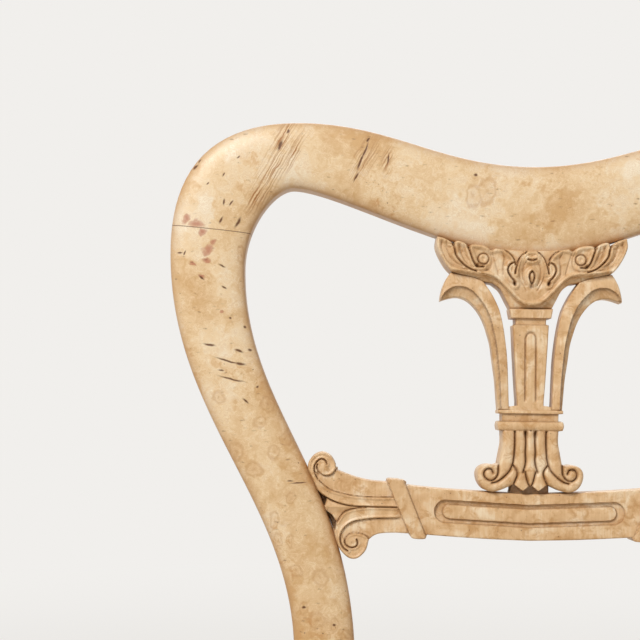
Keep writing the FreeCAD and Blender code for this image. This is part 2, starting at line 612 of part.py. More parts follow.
def cross_rail():
    half = cross_rail_outline()
    body = front_board("cross_rail", half + backwards(flip(half, -1)), g.rail_setback, "Sizes.rail_thickness")
    middle = RAIL_TOP_MIDDLE - g.channel_drop
    groove = [slot_outline(g.channel_half_length, middle, g.channel_width),
              slot_outline(g.channel_half_length - (g.channel_width - g.reed_width) / 2, middle, g.reed_width)]
    sketch = add_sketch(body, "XZ_Plane", groove, -g.rail_setback)
    add_pocket(body, sketch, "Sizes.channel_depth", back=False)
    # Scrolls and ribbons stand in front of the rail
    top = RAIL_TOP_MIDDLE + g.rail_top_rise + g.ribbon_overhang
    bottom = split_where(half[-1], lambda p: p[0] > g.ribbon_bottom_offset)[0][3][1] - g.ribbon_overhang
    proud = []
    for side in (1, -1):
        upper = circle_arc(UPPER_EYE, g.upper_scroll_radius - g.scroll_rim, 180, -180)
        lower = circle_arc(LOWER_EYE, g.lower_scroll_radius - g.scroll_rim, 180, -180)
        proud += [flip(upper, side), flip(lower, side)]
    scrolls = add_sketch(body, "XZ_Plane", proud, g.scroll_proud - g.rail_setback)
    add_pad(body, scrolls, "Sizes.scroll_proud + Sizes.rail_thickness / 2", back=True)
    half_width = g.ribbon_width / 2
    ribbons = []
    for side in (1, -1):
        shape = polygon([(g.ribbon_top_offset - half_width, top), (g.ribbon_top_offset + half_width, top),
                         (g.ribbon_bottom_offset + half_width, bottom),
                         (g.ribbon_bottom_offset - half_width, bottom)])
        ribbons.append(flip(shape, side))
    sketch = add_sketch(body, "XZ_Plane", ribbons, g.ribbon_proud - g.rail_setback)
    add_pad(body, sketch, "Sizes.ribbon_proud + Sizes.rail_thickness / 2", back=True)
    doc.recompute()
    return body


# Lyre: carved capital, column, two horns and the leafy foot

def palmette():
    neck = (g.palmette_neck, RIM_HEIGHT)
    rim = (g.palmette_half_rim, RIM_HEIGHT)
    # The capital's top follows the underside of the crest out to the capital's own corner, a
    # little higher, so that it can be scribed to the crest's rounded edge
    top = split_where(inner_crown, lambda point: point[0] < g.palmette_half_top)[0]
    top = [(x, z + g.palmette_lap) for x, z in top]
    corner = top[3]
    lift = corner[1] - RIM_HEIGHT
    foot = (g.abacus_half - g.cup_foot, ABACUS_TOP)
    right = [top, [corner, (corner[0], corner[1] - lift / 2), (rim[0] + g.palmette_flare, rim[1] + lift / 4), rim],
             [rim, neck],
             [neck, (neck[0] - g.cup_handle, neck[1] - g.cup_drop),
              (g.abacus_half + g.cup_handle, ABACUS_TOP + g.cup_foot), foot],
             [foot, (0, ABACUS_TOP)]]
    outline = right + backwards(flip(right, -1))
    return front_board("palmette", outline, g.lyre_setback - g.palmette_proud,
                       "Sizes.lyre_thickness + Sizes.palmette_proud")


def column():
    right = [(0, ABACUS_TOP), (g.abacus_half, ABACUS_TOP), (g.abacus_half, ABACUS_BOTTOM),
             (g.column_neck_half, ABACUS_BOTTOM), (g.column_neck_half, COLUMN_TOP),
             (g.column_half_top, COLUMN_TOP), (g.column_half_bottom, COLUMN_FOOT), (0, COLUMN_FOOT)]
    outline = chain(right) + backwards(flip(chain(right), -1))
    body = front_board("column", outline, g.lyre_setback, "Sizes.lyre_thickness")
    # Sunk line round a panel with an arched head
    head = COLUMN_TOP - 3 * g.panel_half
    line = []
    for extra in (g.panel_line, 0.0):
        half = g.panel_half + extra
        foot = COLUMN_FOOT + 2 * g.panel_half - extra
        line.append(circle_arc((0, head), half, 0, 180)
                    + chain([(-half, head), (-half, foot), (half, foot), (half, head)]))
    add_pocket(body, add_sketch(body, "XZ_Plane", line, -g.lyre_setback), "Sizes.panel_depth")
    return body


def horn(name, side):
    tip = (g.horn_tip_offset, RIM_HEIGHT - g.horn_tip_drop)
    foot_out = (g.horn_foot_outer, COLUMN_FOOT)
    foot_in = (g.horn_foot_outer - g.horn_foot_width, COLUMN_FOOT)
    rim = (g.palmette_half_rim, RIM_HEIGHT)
    neck = (g.palmette_neck, RIM_HEIGHT)
    low = (tip[0] - g.horn_curl, tip[1] + g.horn_curl_rise)
    outline = [[tip, (tip[0], tip[1] + g.horn_tip_handle), (rim[0] + g.horn_rim_handle, rim[1] - g.horn_rim_handle),
                rim], [rim, neck],
               [neck, (neck[0] - 0.6 * g.horn_bend_inner, neck[1] - g.horn_bend_inner),
                (foot_in[0], foot_in[1] + g.horn_stem_inner), foot_in],
               [foot_in, foot_out],
               [foot_out, (foot_out[0] + g.horn_curl_rise, foot_out[1] + g.horn_stem_outer),
                (low[0] - g.horn_bend_outer, low[1] + g.horn_curl_rise), low],
               [low, (low[0] + g.horn_rim_handle, low[1]), (tip[0] - g.horn_rim_handle, tip[1]), tip]]
    body = front_board(name, flip(outline, side), g.lyre_setback + g.horn_setback, "Sizes.horn_thickness")
    return body


def lyre_foot():
    scroll = (g.foot_scroll_offset, RAIL_TOP_MIDDLE + g.foot_scroll_rise)
    arc = circle_arc(scroll, g.foot_scroll_radius, 110, -62)
    leaf_top = (g.leaf_top_half, COLLAR_BOTTOM)
    outline = chain([(0, COLUMN_FOOT), (g.plate_half, COLUMN_FOOT), (g.plate_half, PLATE_BOTTOM),
                     (g.foot_neck_half, PLATE_BOTTOM), (g.foot_neck_half, COLLAR_TOP),
                     (g.plate_half, COLLAR_TOP), (g.plate_half, COLLAR_BOTTOM), leaf_top])
    outline.append([leaf_top, (g.leaf_half, COLLAR_BOTTOM - g.leaf_handle),
                    (g.leaf_top_half, scroll[1] + g.leaf_scroll_handle), arc[0][0]])
    outline += arc
    low = arc[-1][-1]
    # The sole reaches into the cross rail, to be scribed to its sagging top
    sole = RAIL_TOP_MIDDLE - g.ribbon_overhang
    outline += chain([low, (low[0] - g.scroll_proud, sole), (0, sole)])
    return front_board("lyre_foot", outline + backwards(flip(outline, -1)), g.lyre_setback - g.scroll_proud,
                       "Sizes.lyre_thickness + Sizes.scroll_proud")


# Seat rails, corner blocks and front legs

def side_line(y, inset=0.0):
    """Half width of the seat at y, measured to the side rails' outside face or inside it."""
    return g.seat_half_front - g.reveal - NARROWING * (y - LEG_HEAD_REAR) - inset


def trapezium(front, rear, inset):
    """Plan of the seat between two lines across, inset from the side rails' outside face."""
    return [(-side_line(front, inset), front), (side_line(front, inset), front),
            (side_line(rear, inset), rear), (-side_line(rear, inset), rear)]


WELL_FRONT = FRONT_Y + g.reveal + g.seat_rail_thickness - g.ledge_width
WELL_REAR = BACK_Y - g.ledge_depth * math.tan(LEAN) - g.seat_gap
WELL_INSET = g.seat_rail_thickness - g.ledge_width


def seat_well():
    """The space over the ledges that the lift-out seat drops into."""
    outline = polygon(trapezium(WELL_FRONT, WELL_REAR, WELL_INSET))
    return flat_board("seat_well", outline, "Sizes.rail_top - Sizes.ledge_depth", "Sizes.ledge_depth * 2")


def box(name, sizes, corner):
    """A block from its three sizes as sheet expressions and its lowest corner."""
    block = doc.addObject("Part::Box", name)
    for axis, size in zip(("Length", "Width", "Height"), sizes):
        block.setExpression(axis, size)
    block.Placement = Placement(Vector(*corner), Rotation())
    return block


TENON_Z = RAIL_BOTTOM + (LEDGE_Z - RAIL_BOTTOM - g.tenon_height) / 2
FRONT_TENON_Y = FRONT_Y + g.reveal + (g.seat_rail_thickness - g.tenon_thickness) / 2
REAR_TENON_Y = BACK_Y + (g.rear_rail_back - g.tenon_thickness)


def tenon(name, along_x, corner, play=False):
    extra = " + 2 * Sizes.dowel_play" if play else ""
    run = "Sizes.tenon_length" + (" + Sizes.dowel_play" if play else "")
    thick = "Sizes.tenon_thickness" + extra
    sizes = (run, thick, "Sizes.tenon_height" + extra) if along_x else (thick, run, "Sizes.tenon_height" + extra)
    shift = g.dowel_play if play else 0.0
    x, y, z = corner
    place = (x, y - shift, z - shift) if along_x else (x - shift, y, z - shift)
    return box(name, sizes, place)


def front_rail(well):
    half = g.seat_half_front - g.leg_block
    bar = box("front_rail_bar", ("2 * (Sizes.seat_half_front - Sizes.leg_block)", "Sizes.seat_rail_thickness",
                                 "Sizes.seat_rail_height"), (-half, FRONT_Y + g.reveal, RAIL_BOTTOM))
    ends = [tenon("front_rail_tenon", True, (x, FRONT_TENON_Y, TENON_Z)) for x in (half, -half - g.tenon_length)]
    return cut(fuse("front_rail_whole", [bar] + ends), well)


def rear_rail(well):
    length = "2 * (Sizes.stile_outer - Sizes.stile_width)"
    bar = box("rear_rail_bar", (length, "Sizes.rear_rail_front + Sizes.rear_rail_back", "Sizes.seat_rail_height"),
              (-STILE_INNER, BACK_Y - g.rear_rail_front, RAIL_BOTTOM))
    ends = [tenon("rear_rail_tenon", True, (x, REAR_TENON_Y, TENON_Z))
            for x in (STILE_INNER, -STILE_INNER - g.tenon_length)]
    return cut(fuse("rear_rail_whole", [bar] + ends), well)


def side_tenon_x(y, side):
    """Low x of a side rail's tenon, which runs straight back in the rail's middle."""
    middle = side_line(y, g.seat_rail_thickness / 2)
    return side * middle - g.tenon_thickness / 2


def side_rail(name, side, well):
    rear = BACK_Y + OVERCUT
    plan = polygon([(side * side_line(LEG_HEAD_REAR), LEG_HEAD_REAR), (side * side_line(rear), rear),
                    (side * side_line(rear, g.seat_rail_thickness), rear),
                    (side * side_line(LEG_HEAD_REAR, g.seat_rail_thickness), LEG_HEAD_REAR)])
    bar = flat_board(name + "_bar", plan, "Sizes.rail_top - Sizes.seat_rail_height", "Sizes.seat_rail_height")
    # The rear end is scribed to the leaning face of the upright
    behind = doc.addObject("Part::Box", name + "_scribe")
    behind.Length = 4 * g.stile_width
    behind.Width = 4 * OVERCUT
    behind.Height = 4 * g.seat_rail_height
    behind.Placement = RAKED.multiply(Placement(
        Vector(side * g.stile_outer - 2 * g.stile_width, 0, -2 * g.seat_rail_height), Rotation()))
    trimmed = cut(bar, behind)
    front = tenon(name + "_front_tenon", False,
                  (side_tenon_x(LEG_HEAD_REAR, side), LEG_HEAD_REAR - g.tenon_length, TENON_Z))
    back = tenon(name + "_back_tenon", False,
                 (side_tenon_x(BACK_Y, side), BACK_Y - g.rear_rail_front + g.tenon_root, TENON_Z))
    return cut(fuse(name + "_whole", [trimmed, front, back]), well)


def corner_block(name, side, rear):
    """A three-cornered block, glued and screwed into a corner of the seat frame."""
    if rear:
        y = BACK_Y - g.rear_rail_front
        far = y - g.corner_block_leg
        inner = [(side_line(far, g.seat_rail_thickness), far), (side_line(y, g.seat_rail_thickness), y),
                 (side_line(y, g.seat_rail_thickness) - g.corner_block_leg, y)]
    else:
        y = FRONT_Y + g.reveal + g.seat_rail_thickness
        head = g.seat_half_front - g.leg_block
        far = LEG_HEAD_REAR + g.front_block_leg
        inner = [(head - g.front_block_leg, y), (head, y), (head, LEG_HEAD_REAR),
                 (side_line(LEG_HEAD_REAR, g.seat_rail_thickness), LEG_HEAD_REAR),
                 (side_line(far, g.seat_rail_thickness), far)]
    outline = polygon([(side * x, y) for x, y in inner])
    bottom = "Sizes.rail_top - Sizes.ledge_depth - Sizes.corner_block_drop - Sizes.corner_block_height"
    return flat_board(name, outline, bottom, "Sizes.corner_block_height")


def screw_places():
    """Two screws in each corner block, one square into each rail, at two heights."""
    middle = LEDGE_Z - g.corner_block_drop - g.corner_block_height / 2
    places = []
    slope = math.degrees(math.atan(NARROWING))
    for side in (1, -1):
        across = Rotation(Vector(0, 0, 1), Vector(side, 0, 0))
        turned = Rotation(Vector(0, 0, 1), side * slope).multiply(across)
        front_y = FRONT_Y + g.reveal + g.seat_rail_thickness
        head = g.seat_half_front - g.leg_block
        rear_y = BACK_Y - g.rear_rail_front
        forward = Rotation(Vector(0, 0, 1), Vector(0, -1, 0))
        back = Rotation(Vector(0, 0, 1), Vector(0, 1, 0))
        low, high = middle - g.screw_rise, middle + g.screw_rise
        front_x = head - g.front_screw_place
        rear_x = side_line(rear_y, g.seat_rail_thickness) - g.rear_screw_place
        places.append((Vector(side * front_x, front_y + g.screw_in_block, low), forward))
        places.append((Vector(side * rear_x, rear_y - g.screw_in_block, low), back))
        for y in (LEG_HEAD_REAR + g.front_screw_place, rear_y - g.side_screw_place):
            x = side_line(y, g.seat_rail_thickness) - g.screw_in_block
            places.append((Vector(side * x, y, high), turned))
    return [Placement(point, rotation) for point, rotation in places]


def screws(name, places):
    """Wood screws with a countersunk head, drawn without their thread."""
    solids = []
    for i, place in enumerate(places):
        shank = cylinder("%s_shank_%d" % (name, i), "Sizes.screw_radius", "Sizes.screw_length", place)
        head = doc.addObject("Part::Cone", "%s_head_%d" % (name, i))
        head.setExpression("Radius1", "Sizes.screw_head_radius")
        head.setExpression("Radius2", "Sizes.screw_radius")
        head.setExpression("Height", "Sizes.screw_head_radius - Sizes.screw_radius")
        head.Placement = place
        solids.append(fuse("%s_%d" % (name, i), [shank, head]))
    return finish(group(name, solids), name)


def front_leg(name, side):
    """Square head over a turned leg: leafy cup, ring, tapering shaft, ring and peg foot."""
    centre = Vector(side * (g.seat_half_front - g.leg_block / 2), FRONT_Y + g.leg_block / 2, 0)
    body = new_body(name, Placement(centre, Rotation()))

    def curve(p, q, bulge_p, bulge_q):
        """From p to q, leaving and arriving along the leg by a share of the step."""
        step = q[1] - p[1]
        return [p, (p[0], p[1] + bulge_p * step), (q[0], q[1] - bulge_q * step), q]

    tip = (g.tip_radius, 0)
    peg = (g.peg_radius, g.peg_height)
    ankle = (g.ankle_radius, g.ankle_height)
    anklet_low = (g.ankle_radius, g.anklet_height - g.anklet_half)
    anklet = (g.anklet_radius, g.anklet_height)
    shaft_low = (g.shaft_bottom_radius, g.shaft_bottom_height)
    shaft_top = (g.shaft_top_radius, RAIL_BOTTOM - g.shaft_top_drop)
    ring = (g.upper_ring_radius, RAIL_BOTTOM - g.upper_ring_drop)
    cup_low = (g.cup_bottom_radius, RAIL_BOTTOM - g.cup_bottom_drop)
    cup = (g.cup_radius, RAIL_BOTTOM - g.cup_widest_drop)
    lip = (g.cup_lip_radius, RAIL_BOTTOM - g.cup_lip_drop)
    under_head = (g.leg_top_radius, RAIL_BOTTOM)
    outline = [[(0, 0), tip], curve(tip, peg, 0.3, 0.4), curve(peg, ankle, 0.5, 0.3),
               [ankle, anklet_low], curve(anklet_low, anklet, 0.1, 0.5), curve(anklet, shaft_low, 0.5, 0.1),
               [shaft_low, shaft_top], curve(shaft_top, ring, 0.1, 0.6), curve(ring, cup_low, 0.4, 0.3),
               curve(cup_low, cup, 0.25, 0.5), curve(cup, lip, 0.45, 0.2), curve(lip, under_head, 0.3, 0.5),
               [under_head, (0, RAIL_BOTTOM)], [(0, RAIL_BOTTOM), (0, 0)]]
    sketch = add_sketch(body, "XZ_Plane", [outline])
    turned = body.newObject("PartDesign::Revolution", name + "_turned")
    turned.Profile = sketch
    turned.ReferenceAxis = (sketch, ["V_Axis"])
    turned.Angle = 360.0
    doc.recompute()
    half = g.leg_block / 2
    head = add_sketch(body, "XY_Plane", [polygon([(-half, -half), (half, -half), (half, half), (-half, half)])],
                      RAIL_BOTTOM)
    add_pad(body, head, "Sizes.seat_rail_height")
    doc.recompute()
    return body


# Lift-out seat

SEAT_FRONT = WELL_FRONT + g.seat_gap
SEAT_REAR = WELL_REAR - g.seat_gap
SEAT_INSET = WELL_INSET + g.seat_gap
FRAME_FRONT = SEAT_FRONT + g.cover_thickness + g.soft_gap
FRAME_REAR = SEAT_REAR - g.cover_thickness - g.soft_gap
FRAME_INSET = SEAT_INSET + g.cover_thickness + g.soft_gap
FRAME_Z = LEDGE_Z + g.cover_thickness
FRAME_TOP = FRAME_Z + g.frame_thickness
FRAME_BOTTOM = "Sizes.rail_top - Sizes.ledge_depth + Sizes.cover_thickness"


def lapped_member(name, plan, laps, laps_on_top):
    """A frame member whose ends are halved into its neighbours."""
    body = flat_board(name, polygon(plan), FRAME_BOTTOM, "Sizes.frame_thickness")
    offset = g.frame_thickness / 2 if laps_on_top else 0.0
    sketch = add_sketch(body, "XY_Plane", [polygon(lap) for lap in laps], offset)
    add_pocket(body, sketch, "Sizes.frame_thickness / 2", back=True)
    return body


def seat_frame():
    front, rear, inset, width = FRAME_FRONT, FRAME_REAR, FRAME_INSET, g.frame_width
    inner_front, inner_rear = front + width, rear - width
    def lap(side, low, high):
        return [(side * side_line(low, inset), low), (side * side_line(high, inset), high),
                (side * side_line(high, inset + width), high), (side * side_line(low, inset + width), low)]
    members = {}
    members["seat_frame_front"] = lapped_member(
        "seat_frame_front", trapezium(front, inner_front, inset),
        [lap(side, front, inner_front) for side in (1, -1)], True)
    members["seat_frame_rear"] = lapped_member(
        "seat_frame_rear", trapezium(inner_rear, rear, inset),
        [lap(side, inner_rear, rear) for side in (1, -1)], True)
    for name, side in (("seat_frame_right", 1), ("seat_frame_left", -1)):
        members[name] = lapped_member(name, lap(side, front, rear),
                                      [lap(side, front, inner_front), lap(side, inner_rear, rear)], False)
    return members


def strap_centres(low, high, count):
    """Middles of straps spread evenly between two lines."""
    pitch = (high - low) / count
    return [low + pitch * (i + 0.5) for i in range(count)]


WEB_BEARING = g.frame_width * 0.6
LENGTHWISE_STRAPS = 4
CROSSWISE_STRAPS = 3
lengthwise = strap_centres(-side_line(FRAME_REAR, FRAME_INSET + g.frame_width * 0.8),
                           side_line(FRAME_REAR, FRAME_INSET + g.frame_width * 0.8), LENGTHWISE_STRAPS)
crosswise = strap_centres(FRAME_FRONT + g.frame_width, FRAME_REAR - g.frame_width, CROSSWISE_STRAPS)
WEB_FRONT = FRAME_FRONT + g.frame_width - WEB_BEARING
WEB_REAR = FRAME_REAR - g.frame_width + WEB_BEARING


def webbing():
    base = "Sizes.rail_top - Sizes.ledge_depth + Sizes.cover_thickness + Sizes.frame_thickness"
    half = g.web_width / 2
    length = [polygon([(x - half, WEB_FRONT), (x + half, WEB_FRONT), (x + half, WEB_REAR), (x - half, WEB_REAR)])
              for x in lengthwise]
    cross = []
    for y in crosswise:
        reach = side_line(y, FRAME_INSET + g.frame_width - WEB_BEARING)
        cross.append(polygon([(-reach, y - half), (reach, y - half), (reach, y + half), (-reach, y + half)]))
    straps = [flat_board("lengthwise_strap", outline, base, "Sizes.web_thickness") for outline in length]
    over = [flat_board("crosswise_strap", outline, base + " + Sizes.web_thickness", "Sizes.web_thickness")
            for outline in cross]
    return group("webbing_lengthwise", straps), group("webbing_crosswise", over)


def crown_sections(front, rear, inset, shift):
    """Plans of the seat from its upright sides to its crown, each with its height."""
    side_top = LEDGE_Z + g.cover_side_height
    steps = 5
    sections = [(trapezium(front, rear, inset), side_top)]
    for i in range(1, steps + 1):
        turn = math.radians(90.0 * i / steps)
        pull = (1 - math.cos(turn)) * g.crown_run
        sections.append((trapezium(front + pull, rear - pull, inset + pull),
                         side_top + (g.crown_height - shift) * math.sin(turn)))
    return sections


def lofted(body, kind, sections, base):
    sketches = [add_sketch(body, "XY_Plane", [polygon(plan)], height - base) for plan, height in sections]
    loft = body.newObject("PartDesign::" + kind, body.Name + "_loft")
    loft.Profile = sketches[0]
    loft.Sections = sketches[1:]
    loft.Ruled = True
    doc.recompute()
    return loft


def seat_cover():
    outside = [(trapezium(SEAT_FRONT, SEAT_REAR, SEAT_INSET), LEDGE_Z)]
    outside += crown_sections(SEAT_FRONT, SEAT_REAR, SEAT_INSET, 0.0)
    skin = g.cover_thickness
    hollow = crown_sections(SEAT_FRONT + skin, SEAT_REAR - skin, SEAT_INSET + skin, skin)
    hollow = [(hollow[0][0], LEDGE_Z + skin)] + hollow
    body = new_body("seat_cover")
    lofted(body, "AdditiveLoft", outside, 0.0)
    lofted(body, "SubtractiveLoft", hollow, 0.0)
    margin = g.cover_margin
    mouth = polygon(trapezium(SEAT_FRONT + margin, SEAT_REAR - margin, SEAT_INSET + margin))
    add_pocket(body, add_sketch(body, "XY_Plane", [mouth], LEDGE_Z), "2 * Sizes.cover_thickness", back=True)
    return body


def stuffing():
    skin = g.cover_thickness + g.soft_gap
    sections = crown_sections(SEAT_FRONT + skin, SEAT_REAR - skin, SEAT_INSET + skin, skin)
    base = FRAME_TOP + 2 * g.web_thickness + g.hessian_thickness + g.soft_gap
    sections = [(sections[0][0], base), (sections[0][0], base + g.stuffing_edge)] + sections[1:]
    body = new_body("stuffing")
    lofted(body, "AdditiveLoft", sections, 0.0)
    return body


def hessian():
    edge = g.cover_thickness + g.soft_gap + g.frame_width / 4
    plan = polygon(trapezium(SEAT_FRONT + edge, SEAT_REAR - edge, SEAT_INSET + edge))
    return flat_board("hessian", plan, "Sizes.rail_top - Sizes.ledge_depth + Sizes.cover_thickness"
                      " + Sizes.frame_thickness + 2 * Sizes.web_thickness", "Sizes.hessian_thickness")


def tacks(name, places):
    """Flat-headed tacks; each place is under the head, its z along the shank."""
    solids = []
    for i, place in enumerate(places):
        head_place = place.multiply(Placement(Vector(0, 0, -g.tack_head), Rotation()))
        head = cylinder("%s_head_%d" % (name, i), "Sizes.tack_head_radius", "Sizes.tack_head", head_place)
        shank = cylinder("%s_shank_%d" % (name, i), "Sizes.tack_radius", "Sizes.tack_length", place)
        solids.append(fuse("%s_%d" % (name, i), [head, shank]))
    return finish(group(name, solids), name)


def cover_tack_places():
    up = Rotation()
    edge = (g.ledge_width + g.cover_margin) / 2
    front, rear, inset = SEAT_FRONT + edge, SEAT_REAR - edge, SEAT_INSET + edge
    count = 7
    places = []
    for i in range(count):
        t = (i + 0.5) / count
        for y in (front, rear):
            x = side_line(y, inset) * (2 * t - 1)
            places.append(Placement(Vector(x, y, LEDGE_Z), up))
        y = front + (rear - front) * t
        for side in (1, -1):
            places.append(Placement(Vector(side * side_line(y, inset), y, LEDGE_Z), up))
    return places


def web_tack_places():
    down = Rotation(Vector(1, 0, 0), 180)
    inset = g.tack_inset
    spread = g.web_width / 4
    top = FRAME_TOP + g.web_thickness
    places = []
    for x in lengthwise:
        for y in (WEB_FRONT + inset, WEB_REAR - inset):
            places += [Placement(Vector(x + dx, y, top), down) for dx in (-spread, spread)]
    for y in crosswise:
        reach = side_line(y, FRAME_INSET + g.frame_width - WEB_BEARING) - inset
        for side in (1, -1):
            places += [Placement(Vector(side * reach, y + dy, top), down) for dy in (-spread, spread)]
    return places


# Assembly

well = seat_well()

stiles = {"right_stile": stile("right_stile", 1), "left_stile": stile("left_stile", -1)}
crest = crest_rail()
# The cross rail's ends are scribed to the uprights, the lyre's foot to the cross rail, and its
# capital to the crest
rail = cut(cut(cross_rail(), stiles["right_stile"]), stiles["left_stile"])
lyre = {"palmette": cut(palmette(), crest), "column": column(), "right_horn": horn("right_horn", 1),
        "left_horn": horn("left_horn", -1), "lyre_foot": cut(lyre_foot(), rail)}

middle_depth = g.back_thickness / 2
seam_middle = (SEAM_OUTER + SEAM_INNER) / 2
seam_span = seam[0][0] - seam[1][0]
crest_dowels, crest_holes = pegs("crest_dowels", "dowel_radius", "dowel_length", [
    in_back(side * (seam[1][0] + seam_span * share), middle_depth, seam_middle)
    for side in (1, -1) for share in (0.25, 0.62)])

across = Vector(1, 0, 0)
rail_depth = g.rail_setback + g.rail_thickness / 2
rail_dowel_heights = (UPPER_EYE_HEIGHT - g.upper_dowel_drop, LOWER_EYE_HEIGHT + g.lower_dowel_rise)
rail_dowels, rail_holes = pegs("cross_rail_dowels", "rail_dowel_radius", "rail_dowel_length", [
    in_back(side * upright_inside(z), rail_depth, z, across) for side in (1, -1) for z in rail_dowel_heights])

lyre_depth = g.lyre_setback + g.lyre_thickness / 2
lyre_dowels, lyre_holes = pegs("lyre_dowels", "lyre_dowel_radius", "lyre_dowel_length", [
    in_back(0, lyre_depth, ABACUS_TOP), in_back(0, lyre_depth, COLUMN_FOOT)] + [
    in_back(side * x, lyre_depth, z) for side in (1, -1)
    for x, z in ((g.palmette_half_top / 2, ARCH_DIP_HEIGHT + g.palmette_dowel_rise),
                 (g.leaf_half / 2, RAIL_TOP_MIDDLE))])

horn_depth = g.lyre_setback + g.horn_setback + g.horn_thickness / 2
horn_pins, pin_holes = pegs("horn_pins", "pin_radius", "pin_length", [
    in_back(side * x, horn_depth, z) for side in (1, -1)
    for x, z in ((g.palmette_half_rim - g.pin_inset, RIM_HEIGHT),
                 (g.horn_foot_outer - g.horn_foot_width / 2, COLUMN_FOOT))])

# Front legs take the tenons of two rails each
for name, side in (("right_front_leg", 1), ("left_front_leg", -1)):
    leg = front_leg(name, side)
    head_inner = g.seat_half_front - g.leg_block
    x = head_inner if side > 0 else -head_inner - g.tenon_length - g.dowel_play
    mortises = fuse(name + "_mortises", [
        tenon(name + "_front_mortise", True, (x, FRONT_TENON_Y, TENON_Z), play=True),
        tenon(name + "_side_mortise", False,
              (side_tenon_x(LEG_HEAD_REAR, side), LEG_HEAD_REAR - g.tenon_length - g.dowel_play, TENON_Z), play=True)])
    finish(cut(cut(leg, mortises), well), name)

# Uprights take the crest and cross rail dowels and the tenons of two rails each
for name, side in (("right_stile", 1), ("left_stile", -1)):
    x = STILE_INNER if side > 0 else -STILE_INNER - g.tenon_length - g.dowel_play
    mortises = fuse(name + "_mortises", [
        tenon(name + "_rear_mortise", True, (x, REAR_TENON_Y, TENON_Z), play=True),
        tenon(name + "_side_mortise", False,
              (side_tenon_x(BACK_Y, side), BACK_Y - g.rear_rail_front + g.tenon_root, TENON_Z), play=True)])
    bored = cut(cut(stiles[name], crest_holes), rail_holes)
    finish(cut(bored, mortises), name)

finish(cut(cut(crest, crest_holes), lyre_holes), "crest_rail")
finish(cut(cut(rail, rail_holes), lyre_holes), "cross_rail")
for name, part in lyre.items():
    finish(cut(cut(part, lyre_holes), pin_holes), name)

block_screws = screws("corner_block_screws", screw_places())
finish(cut(front_rail(well), block_screws), "front_seat_rail")
finish(cut(rear_rail(well), block_screws), "rear_seat_rail")
for name, side in (("right_seat_rail", 1), ("left_seat_rail", -1)):
    finish(cut(side_rail(name, side, well), block_screws), name)
for name, side, rear in (("front_right_block", 1, False), ("front_left_block", -1, False),
                         ("rear_right_block", 1, True), ("rear_left_block", -1, True)):
    finish(cut(corner_block(name, side, rear), block_screws), name)

cover_tacks = tacks("cover_tacks", cover_tack_places())
web_tacks = tacks("webbing_tacks", web_tack_places())
for name, member in seat_frame().items():
    finish(cut(cut(member, cover_tacks), web_tacks), name)
finish(cut(seat_cover(), cover_tacks), "seat_cover")
length_straps, cross_straps = webbing()
finish(cut(length_straps, web_tacks), "webbing_lengthwise")
finish(cut(cross_straps, web_tacks), "webbing_crosswise")
finish(hessian(), "hessian")
finish(stuffing(), "stuffing")

doc.recompute()
for thing in doc.Objects:
    if "Invalid" in thing.State or "Error" in thing.State:
        raise RuntimeError("%s is not sound: %s" % (thing.Name, thing.State))
for name, node in nodes.items():
    if node.Shape.isNull() or not node.Shape.isValid() or not node.Shape.Solids:
        raise RuntimeError("%s has no valid solid" % name)

os.makedirs("parts", exist_ok=True)
for name, node in nodes.items():
    node.Shape.exportStep("parts/%s.step" % name)
print("%d nodes" % len(nodes))
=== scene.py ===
import math

import bmesh
import bpy
import numpy as np
from bpy.props import FloatProperty, IntProperty, PointerProperty, StringProperty
from mathutils import Matrix, Vector
from mathutils.bvhtree import BVHTree
from mathutils.geometry import delaunay_2d_cdt


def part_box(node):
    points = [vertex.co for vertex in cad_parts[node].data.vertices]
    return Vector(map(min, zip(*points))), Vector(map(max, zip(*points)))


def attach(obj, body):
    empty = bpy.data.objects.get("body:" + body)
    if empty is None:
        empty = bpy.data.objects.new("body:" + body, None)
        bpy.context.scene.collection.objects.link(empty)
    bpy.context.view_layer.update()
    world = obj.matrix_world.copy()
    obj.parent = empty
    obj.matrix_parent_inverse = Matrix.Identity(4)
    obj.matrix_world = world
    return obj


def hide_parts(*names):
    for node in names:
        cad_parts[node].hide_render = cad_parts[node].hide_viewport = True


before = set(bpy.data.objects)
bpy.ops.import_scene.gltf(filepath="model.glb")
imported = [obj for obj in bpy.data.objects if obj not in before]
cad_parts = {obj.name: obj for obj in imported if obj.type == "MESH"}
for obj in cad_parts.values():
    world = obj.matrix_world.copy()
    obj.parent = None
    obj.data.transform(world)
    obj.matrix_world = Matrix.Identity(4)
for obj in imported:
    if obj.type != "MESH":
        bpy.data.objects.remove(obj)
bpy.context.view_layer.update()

# Dressed model of a lyre back side chair: pale burr wood, carved splat and cross rail, and a
# lift-out seat under linen. Metres in the scene. The back's own pattern is drawn in
# millimetres in its leaning plane: x from the middle out, y into the wood, z up along the back.

bl_info = {
    "name": "Lyre Back Chair",
    "version": (1, 0, 0),
    "blender": (4, 5, 0),
    "location": "View3D > Sidebar > Lyre Chair",
    "description": "Carved and burr-figured lyre back chair with a lift-out seat",
    "category": "Add Mesh",
}

MM = 0.001
BODY_CHAIR = "chair_frame"
BODY_SEAT = "lift_out_seat"
BACKDROP = "#F1EFEC"
# The joint of crest and upright, outside and inside, over the seat rails
SEAM_OUT, SEAM_IN = 377.0, 372.6
# Where the joint starts, outwards from the middle, and how far inwards it runs
SEAM_START, SEAM_LENGTH = 230.6, 47.0


# Sizes and colours that a user would change

